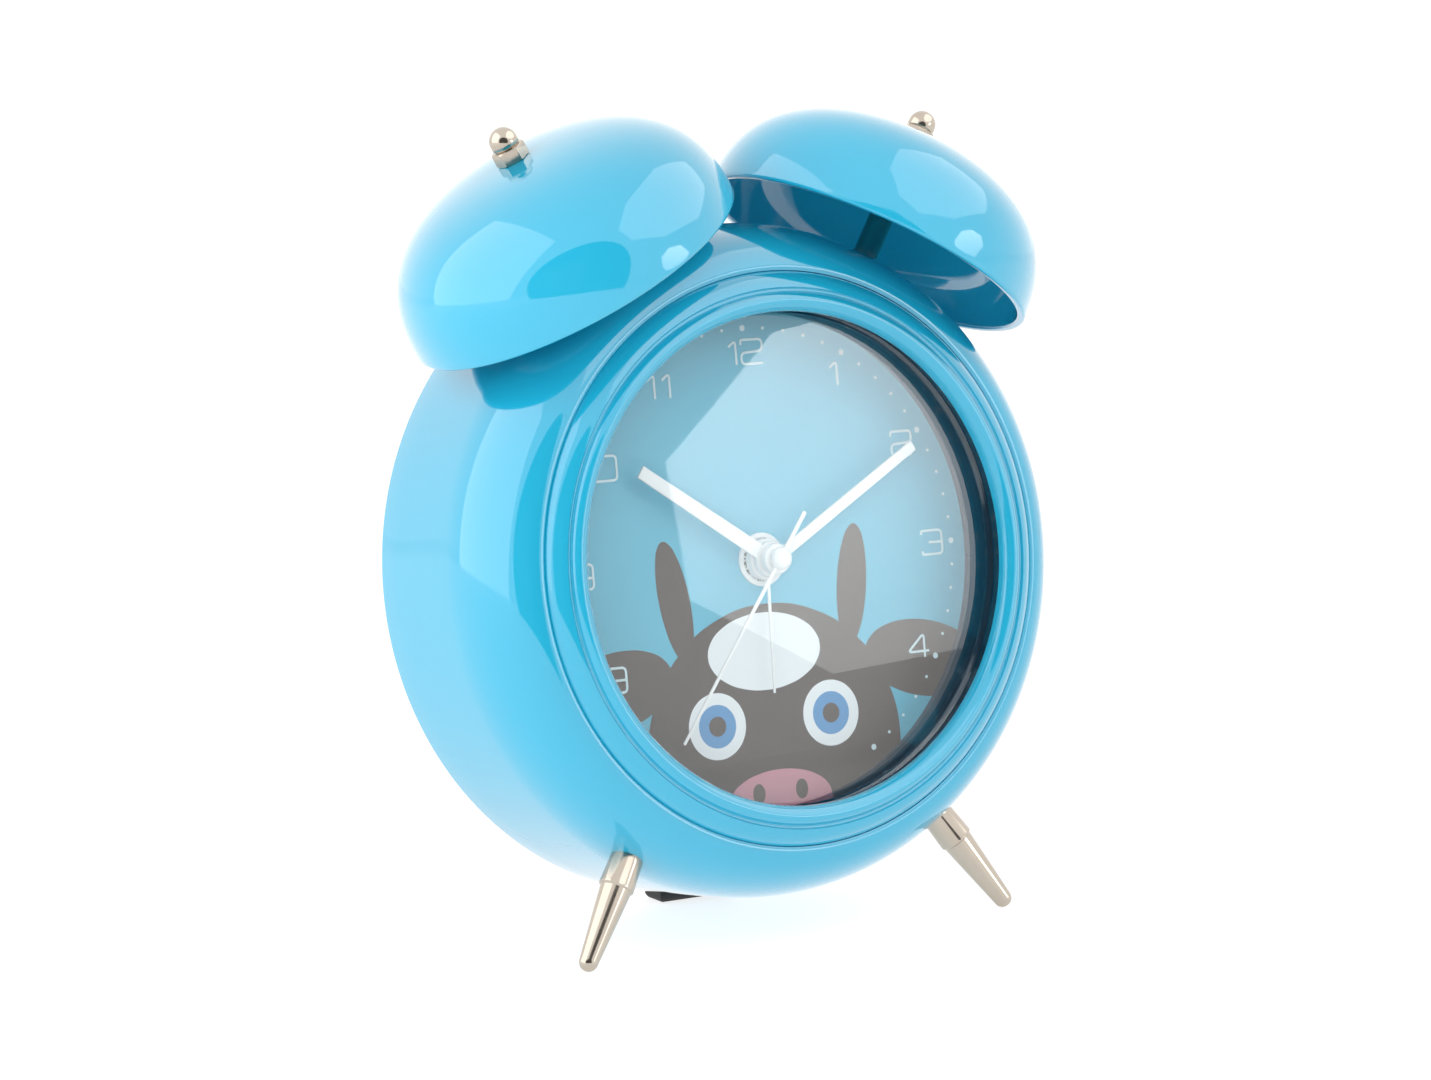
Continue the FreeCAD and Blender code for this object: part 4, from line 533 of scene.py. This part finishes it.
for side, tag in ((-1, "left"), (1, "right")):
    leg = spun(f"leg_{tag}_turned", leg_outline, stud_place(180 - side * LEG_ANGLE, LEG_RAKE, LEG_DEPTH),
               closed=False, turns=96, crisp=25)
    finished(leg, NICKEL, "clock_body", [f"leg_{tag}"])

# %% [markdown]
# ## The hands
# The hands are stamped from thin aluminium and lacquered white. Each blade is a cube drawn out into
# a flat bar and narrowed at its tip, with its edges softened, and each hub is turned. The second
# hand ends in a small domed cap over the middle.

# %% Hands
def clock_hand(name, angle, blade, front, thick, hub, body, node, tail=0.0):
    """A tapered blade (length, width at the hub, width at the tip) on a turned hub, at its true angle."""
    length, wide, narrow = blade
    start_alone()
    bpy.ops.mesh.primitive_cube_add(size=1)
    piece = bpy.context.object
    piece.name = name
    bpy.ops.object.mode_set(mode="EDIT")
    bpy.ops.mesh.select_all(action="SELECT")
    bpy.ops.transform.translate(value=(0, 0.5, 0))
    bpy.ops.transform.resize(value=(wide, length + tail, thick), center_override=(0, 0, 0))
    bpy.ops.transform.translate(value=(0, -tail, -front - thick / 2))
    bpy.ops.object.mode_set(mode="OBJECT")
    for vertex in piece.data.vertices:
        vertex.select = vertex.co.y > length - 0.01
    for part in (piece.data.edges, piece.data.polygons):
        for item in part:
            item.select = all(piece.data.vertices[v].select for v in item.vertices)
    bpy.ops.object.mode_set(mode="EDIT")
    bpy.ops.transform.resize(value=(narrow / wide, 1, 1), center_override=(0, length, 0))
    bpy.ops.object.mode_set(mode="OBJECT")
    soften = piece.modifiers.new("soft edges", "BEVEL")
    soften.width, soften.segments = min(0.12, narrow * 0.2), 3
    bpy.ops.object.modifier_apply(modifier="soft edges")
    piece.matrix_world = Matrix.Rotation(-math.radians(angle), 4, "Z")
    bpy.ops.object.transform_apply(rotation=True)
    turned_hub = spun(name + "_hub", [(r, -y) for r, y in hub], Matrix.Identity(4), closed=False, turns=96)
    only(piece)
    turned_hub.select_set(True)
    bpy.ops.object.join()
    settle(piece, ON_DIAL)
    smooth(piece, 40)
    finished(piece, WHITE_HANDS, body, [node])
    return piece


def hub_outline(radius, front, back, bore, bore_front):
    """A button with a rounded front edge, a blind bore from behind, and a soft rear edge."""
    edge = 0.25
    outline = [(0, front), (radius - edge, front)]
    outline += arc((radius - edge, front), (radius - edge * 0.3, front + edge * 0.3),
                   (radius, front + edge), 5)
    return outline + [(radius, back - 0.1), (radius - 0.1, back), (bore, back), (bore, bore_front),
                      (0, bore_front)]


clock_hand("alarm_hand_white", 181.8, (24.1, 0.7, 0.45), 11.3, 0.3, hub_outline(3.7, 11.15, 12.8, 2.61, 11.3),
           "alarm_arbor", "alarm_hand")
clock_hand("hour_hand_white", 304.5, (31.2, 2.8, 2.4), 10.0, 0.5, hub_outline(3.2, 9.7, 10.9, 2.11, 9.8),
           "hour_arbor", "hour_hand")
clock_hand("minute_hand_white", 60.2, (36.6, 2.1, 2.0), 8.3, 0.5, hub_outline(2.75, 7.7, 9.2, 1.41, 7.8),
           "minute_arbor", "minute_hand")
cap_outline = [(0, 5.6)] + arc((0, 5.6), (1.44, 5.78), (2.0, 6.3), 10) + [
    (2.0, 7.1), (1.9, 7.2), (0.81, 7.2), (0.81, 6.2), (0, 6.2)]
clock_hand("second_hand_white", 217.0, (38.8, 0.8, 0.55), 6.8, 0.3, cap_outline,
           "second_arbor", "second_hand", tail=10.0)

# %% [markdown]
# A small white bushing lines the hole in the dial where the hands' tubes come through.

# %% Dial bushing
bushing_outline = [(2.9, 13.35), (2.9, 13.1), (3.0, 13.0), (4.7, 13.0), (4.85, 13.15), (4.85, 13.35)]
bushing = spun("dial_bushing", bushing_outline, FACE_ON, turns=96)
finished(bushing, WHITE_HANDS, "clock_body")

# %% [markdown]
# ## The printed figures
# Each printed shape is a very thin closed sheet that stands a few hundredths of a millimetre in
# front of the dial plate, and each colour lies just in front of the last, as on a real screen
# print. Rounded shapes are flat Bezier curves through a few points, filled and made into a mesh.

# %% Helpers for the print
PRINT_FACE = 13.4                       # depth of the dial plate's front
INK_STEP = 0.02                         # each printed layer stands this far in front of the last
PRINT_RADIUS = 45.3                     # the print is trimmed to the dial


def flat_curve(name, outline, layer):
    """A filled outline of (x, y) points on the dial as read, as a thin closed mesh."""
    start_alone()
    curve = bpy.data.curves.new(name, "CURVE")
    curve.dimensions, curve.fill_mode, curve.extrude, curve.resolution_u = "2D", "BOTH", INK_STEP * 0.4, 10
    spline = curve.splines.new("BEZIER")
    spline.bezier_points.add(len(outline) - 1)
    for point, (x, y) in zip(spline.bezier_points, outline):
        point.co = (x, y, 0)
        point.handle_left_type = point.handle_right_type = "AUTO"
    spline.use_cyclic_u = True
    piece = bpy.data.objects.new(name, curve)
    bpy.context.scene.collection.objects.link(piece)
    only(piece)
    bpy.ops.object.convert(target="MESH")
    piece = bpy.context.object
    bpy.ops.object.mode_set(mode="EDIT")
    bpy.ops.mesh.select_all(action="SELECT")
    bpy.ops.mesh.remove_doubles(threshold=0.0005)
    bpy.ops.mesh.normals_make_consistent(inside=False)
    bpy.ops.transform.translate(value=(0, 0, layer * INK_STEP - PRINT_FACE))
    bpy.ops.object.mode_set(mode="OBJECT")
    return piece


def trimmed(piece):
    """Cuts a printed shape to the round of the dial with a Boolean."""
    start_alone()
    bpy.ops.mesh.primitive_cylinder_add(vertices=TURNS, radius=PRINT_RADIUS, depth=4,
                                        location=(0, 0, -PRINT_FACE))
    round_cutter = bpy.context.object
    only(piece)
    cut = piece.modifiers.new("trim", "BOOLEAN")
    cut.operation, cut.object, cut.solver = "INTERSECT", round_cutter, "EXACT"
    bpy.ops.object.modifier_apply(modifier="trim")
    bpy.data.objects.remove(round_cutter)
    return piece


def printed(piece, finish):
    settle(piece, ON_DIAL)
    return finished(piece, finish, "clock_body")


# %% [markdown]
# The picture is a plain cow's head made only of ovals: two horns, two ears, a round head, a pale
# patch, two round eyes and a pink muzzle.

# %% The cow's head
def oval(name, middle, size, layer, finish, lean=0.0, count=16):
    """A printed oval, given by its middle, its half width and half height, and its lean in degrees."""
    turn = Matrix.Rotation(math.radians(lean), 2)
    around = [2 * math.pi * k / count for k in range(count)]
    outline = [Vector(middle) + turn @ Vector((size[0] * math.cos(t), size[1] * math.sin(t))) for t in around]
    printed(trimmed(flat_curve(name, outline, layer)), finish)


oval("print_head", (0, -34), (27, 26), 1.5, INK_BROWN)
oval("print_patch", (-1, -16.5), (12, 7), 2, INK_WHITE)
oval("print_muzzle", (0, -43.5), (11, 5.5), 2, INK_PINK)
for side, tag in ((-1, "left"), (1, "right")):
    eye = (12.2 * side, -29)
    oval(f"print_horn_{tag}", (19 * side, -6), (3.2, 11), 1, INK_BROWN, lean=-8 * side)
    oval(f"print_ear_{tag}", (33.5 * side, -21), (13, 7), 1, INK_BROWN, lean=-12 * side)
    oval(f"print_eye_{tag}", eye, (6, 6), 2, INK_WHITE)
    oval(f"print_iris_{tag}", eye, (3.9, 3.9), 3, INK_IRIS)
    oval(f"print_pupil_{tag}", eye, (1.8, 1.8), 4, INK_BROWN)
    oval(f"print_nostril_{tag}", (4.6 * side, -42), (1.3, 1.8), 3, INK_BROWN)

# %% [markdown]
# ## Numbers and minute dots
# The hours are drawn with one thin line of even width and rounded corners. A poly curve with a round
# bevel gives that line, and flattening it makes it a print.

# %% Numbers
STROKES = {
    "0": [[(0, 0), (0, 1), (1, 1), (1, 0), (0, 0)]],
    "1": [[(0.12, 0.74), (0.46, 1), (0.46, 0)]],
    "2": [[(0, 0.8), (0, 1), (1, 1), (1, 0.52), (0, 0.46), (0, 0), (1, 0)]],
    "3": [[(0, 0.84), (0, 1), (1, 1), (1, 0), (0, 0), (0, 0.16)], [(0.35, 0.5), (1, 0.5)]],
    "4": [[(0.82, 0), (0.82, 1), (0, 0.26), (1.05, 0.26)]],
    "8": [[(0, 0), (0, 1), (1, 1), (1, 0), (0, 0)], [(0, 0.5), (1, 0.5)]],
    "9": [[(0, 0), (1, 0), (1, 1), (0, 1), (0, 0.45), (1, 0.45)]],
}
DIGIT_WIDE, DIGIT_HIGH, DIGIT_ONE_WIDE, DIGIT_GAP, STROKE = 4.5, 4.4, 2.4, 0.8, 0.24
NUMBER_RADIUS = 37.5
NUMBER_FLATNESS = 0.04                  # the round line is pressed to this share of its height


def rounded_path(points, reach=0.9, count=5):
    """Rounds each corner of a line with a short curve that starts this far before it."""
    path = [Vector(points[0])]
    for before, corner, after in zip(points, points[1:], points[2:]):
        before, corner, after = Vector(before), Vector(corner), Vector(after)
        cut = min(reach, (before - corner).length / 2, (after - corner).length / 2)
        first = corner.lerp(before, cut / (before - corner).length)
        last = corner.lerp(after, cut / (after - corner).length)
        steps = (k / count for k in range(count + 1))
        path += [first.lerp(corner, t).lerp(corner.lerp(last, t), t) for t in steps]
    return path + [Vector(points[-1])]


def number(hour):
    """One hour's figures, centred on its place on the dial."""
    text = str(hour)
    widths = [DIGIT_ONE_WIDE if digit == "1" else DIGIT_WIDE for digit in text]
    total = sum(widths) + DIGIT_GAP * (len(text) - 1)
    angle = math.radians(30 * hour)
    left = NUMBER_RADIUS * math.sin(angle) - total / 2
    low = NUMBER_RADIUS * math.cos(angle) - DIGIT_HIGH / 2
    curve = bpy.data.curves.new(f"number_{hour}", "CURVE")
    curve.dimensions, curve.bevel_depth, curve.bevel_resolution, curve.use_fill_caps = "3D", STROKE, 2, True
    for digit, width in zip(text, widths):
        for stroke in STROKES[digit]:
            path = rounded_path([(left + x * DIGIT_WIDE, low + y * DIGIT_HIGH) for x, y in stroke])
            spline = curve.splines.new("POLY")
            spline.points.add(len(path) - 1)
            for point, at in zip(spline.points, path):
                point.co = (at.x, at.y, 0, 1)
        left += width + DIGIT_GAP
    start_alone()
    piece = bpy.data.objects.new(f"print_number_{hour}", curve)
    bpy.context.scene.collection.objects.link(piece)
    only(piece)
    bpy.ops.object.convert(target="MESH")
    piece = bpy.context.object
    piece.matrix_world = (Matrix.Translation((0, 0, 3 * INK_STEP - PRINT_FACE))
                          @ Matrix.Diagonal((1, 1, NUMBER_FLATNESS, 1)))
    bpy.ops.object.transform_apply(location=True, rotation=True, scale=True)
    return piece


for hour in (12, 1, 2, 3, 4, 8, 9, 10, 11):
    printed(number(hour), INK_NUMBER)

# %% Minute dots
DOT_RADIUS, HOUR_DOT_RADIUS, DOT_CIRCLE = 0.3, 0.56, 41.82
start_alone()
dots = []
HIDDEN_DOTS = range(26, 35)              # the muzzle and chin cover these
for minute in (m for m in range(60) if m not in HIDDEN_DOTS):
    angle = math.radians(6 * minute)
    size = HOUR_DOT_RADIUS if minute % 5 == 0 else DOT_RADIUS
    bpy.ops.mesh.primitive_circle_add(vertices=16, radius=size, fill_type="NGON",
                                      location=(DOT_CIRCLE * math.sin(angle), DOT_CIRCLE * math.cos(angle),
                                                2.6 * INK_STEP - PRINT_FACE))
    dot = bpy.context.object
    bpy.ops.object.mode_set(mode="EDIT")
    bpy.ops.mesh.select_all(action="SELECT")
    bpy.ops.mesh.extrude_region_move(TRANSFORM_OT_translate={"value": (0, 0, INK_STEP * 0.6)})
    bpy.ops.mesh.select_all(action="SELECT")
    bpy.ops.mesh.normals_make_consistent(inside=False)
    bpy.ops.object.mode_set(mode="OBJECT")
    dots.append(dot)
start_alone()
for dot in dots:
    dot.select_set(True)
bpy.context.view_layer.objects.active = dots[0]
bpy.ops.object.join()
dots[0].name = "print_minute_dots"
bpy.ops.object.transform_apply(location=True, rotation=True, scale=True)
printed(dots[0], INK_NUMBER)
print("print on the dial made")

# %% [markdown]
# ## The studio
# The clock stands on a plain light table, lit from below, inside a white tent. The tent is the world
# light. Soft boxes at the left and right put light patches on the gloss plastic, a darker card round
# the camera gives a deeper blue patch between them, and a soft fill from the front left lights the
# shaded shoulder without showing in the gloss.

# %% Floor and world
start_alone()
bpy.ops.mesh.primitive_plane_add(size=6)
floor = bpy.context.object
floor.name = "floor"
TABLE = moulded("milky light table, matt", "#9A9A9A", "#A0A0A0", 0.6, 0.4, 0.002, cloud_mm=300.0)
table_skin = next(node for node in TABLE.node_tree.nodes if node.type == "BSDF_PRINCIPLED")
table_skin.inputs["Emission Color"].default_value = (1, 1, 1, 1)
TABLE_GLOW = 0.8                        # the table is lit from below
table_skin.inputs["Emission Strength"].default_value = TABLE_GLOW
floor.data.materials.append(TABLE)

world = bpy.data.worlds.new("white tent")
bpy.context.scene.world = world
world.use_nodes = True
world.node_tree.nodes.clear()
TENT_GLOW = 0.36                        # what the tent adds to matt surfaces
TENT_SHINE = 1.25                       # how bright gloss surfaces show the tent
TENT_BACKDROP = 1.2                     # how bright the camera sees it
tent_path = add_node(world.node_tree, "ShaderNodeLightPath")
tent_glow, tent_shine, tent_seen = (
    add_node(world.node_tree, "ShaderNodeBackground", {"Color": (1, 1, 1, 1), "Strength": strength})
    for strength in (TENT_GLOW, TENT_SHINE, TENT_BACKDROP))
tent_mix = add_node(world.node_tree, "ShaderNodeMixShader",
                    {0: (tent_path, "Is Glossy Ray"), 1: (tent_glow, "Background"),
                     2: (tent_shine, "Background")})
tent_all = add_node(world.node_tree, "ShaderNodeMixShader",
                    {0: (tent_path, "Is Camera Ray"), 1: (tent_mix, "Shader"), 2: (tent_seen, "Background")})
add_node(world.node_tree, "ShaderNodeOutputWorld", {"Surface": (tent_all, "Shader")})
bpy.context.scene.view_settings.view_transform = "Standard"

# %% Cards and soft boxes
AIM = STAND @ Vector((-17.343, 0, 4.649))       # where the camera looks


def studio_card(name, azimuth, elevation, distance, half_wide, half_high, glow, glow_low=None,
                corners=4, lights=True):
    """A flat card that faces the clock, as wide and high as these angles either side of its middle.
    Its glow may fall off towards its lower edge, and its corners may be cut, as on an octagonal box."""
    start_alone()
    a, e = math.radians(azimuth), math.radians(elevation)
    outward = Vector((math.sin(a) * math.cos(e), -math.cos(a) * math.cos(e), math.sin(e)))
    bpy.ops.mesh.primitive_circle_add(vertices=corners, radius=math.sqrt(0.5) if corners == 4 else 0.54,
                                      fill_type="NGON", rotation=(0, 0, math.pi / corners))
    bpy.ops.object.transform_apply(rotation=True)
    card = bpy.context.object
    card.name = name
    turn = outward.to_track_quat("Z", "Y").to_matrix().to_4x4()
    wide, high = (2 * distance * math.tan(math.radians(half)) for half in (half_wide, half_high))
    card.matrix_world = (Matrix.Translation(AIM + outward * distance) @ turn
                         @ Matrix.Rotation(math.pi, 4, "Y") @ Matrix.Diagonal((wide, high, 1, 1)))
    finish, tree = new_finish(name + " glow")
    where = add_node(tree, "ShaderNodeTexCoord")
    split = add_node(tree, "ShaderNodeSeparateXYZ", {"Vector": (where, "Object")})
    fall = add_node(tree, "ShaderNodeMapRange",
                    {"Value": (split, "Y"), "From Min": -0.5, "From Max": 0.5,
                     "To Min": glow if glow_low is None else glow_low, "To Max": glow})
    lamp = add_node(tree, "ShaderNodeEmission", {"Strength": (fall, "Result")})
    add_node(tree, "ShaderNodeOutputMaterial", {"Surface": (lamp, "Emission")})
    card.data.materials.append(finish)
    card.visible_camera = card.visible_shadow = False
    card.visible_diffuse = lights
    return card


CAMERA_AZIMUTH, CAMERA_ELEVATION = -32.34, 8.94
studio_card("camera_gap", CAMERA_AZIMUTH + 2, 9, 0.75, 33, 28, 0.12, corners=32, lights=False)
studio_card("left_box", -105, 22, 1.1, 32, 32, 2.3)
studio_card("right_low_box", 39.5, 7.8, 1.5, 11, 7, 4.6, 2.6, corners=8, lights=False)
studio_card("right_high_box", 50, 48, 1.2, 38, 24, 2.2, corners=8)
front_fill = studio_card("front_fill", -45, 3, 1.5, 18, 18, 5.0)
front_fill.visible_glossy = False

# %% [markdown]
# ## The camera
# The camera looks from the left of the dial and a little above it, from about three quarters of a
# metre away, with a long lens that keeps the bells and legs in proportion.

# %% Camera
CAMERA_DISTANCE = 0.7732
SENSOR, LENS = 36.0, 110.65
out_a, out_e = math.radians(CAMERA_AZIMUTH), math.radians(CAMERA_ELEVATION)
away = Vector((math.sin(out_a) * math.cos(out_e), -math.cos(out_a) * math.cos(out_e), math.sin(out_e)))
start_alone()
bpy.ops.object.camera_add(location=AIM + away * CAMERA_DISTANCE)
camera = bpy.context.object
camera.rotation_mode = "QUATERNION"
camera.rotation_quaternion = away.to_track_quat("Z", "Y")
camera.data.sensor_width, camera.data.lens = SENSOR, LENS
camera.data.clip_start, camera.data.clip_end = 0.05, 20
bpy.context.scene.camera = camera

# %% The end
import json
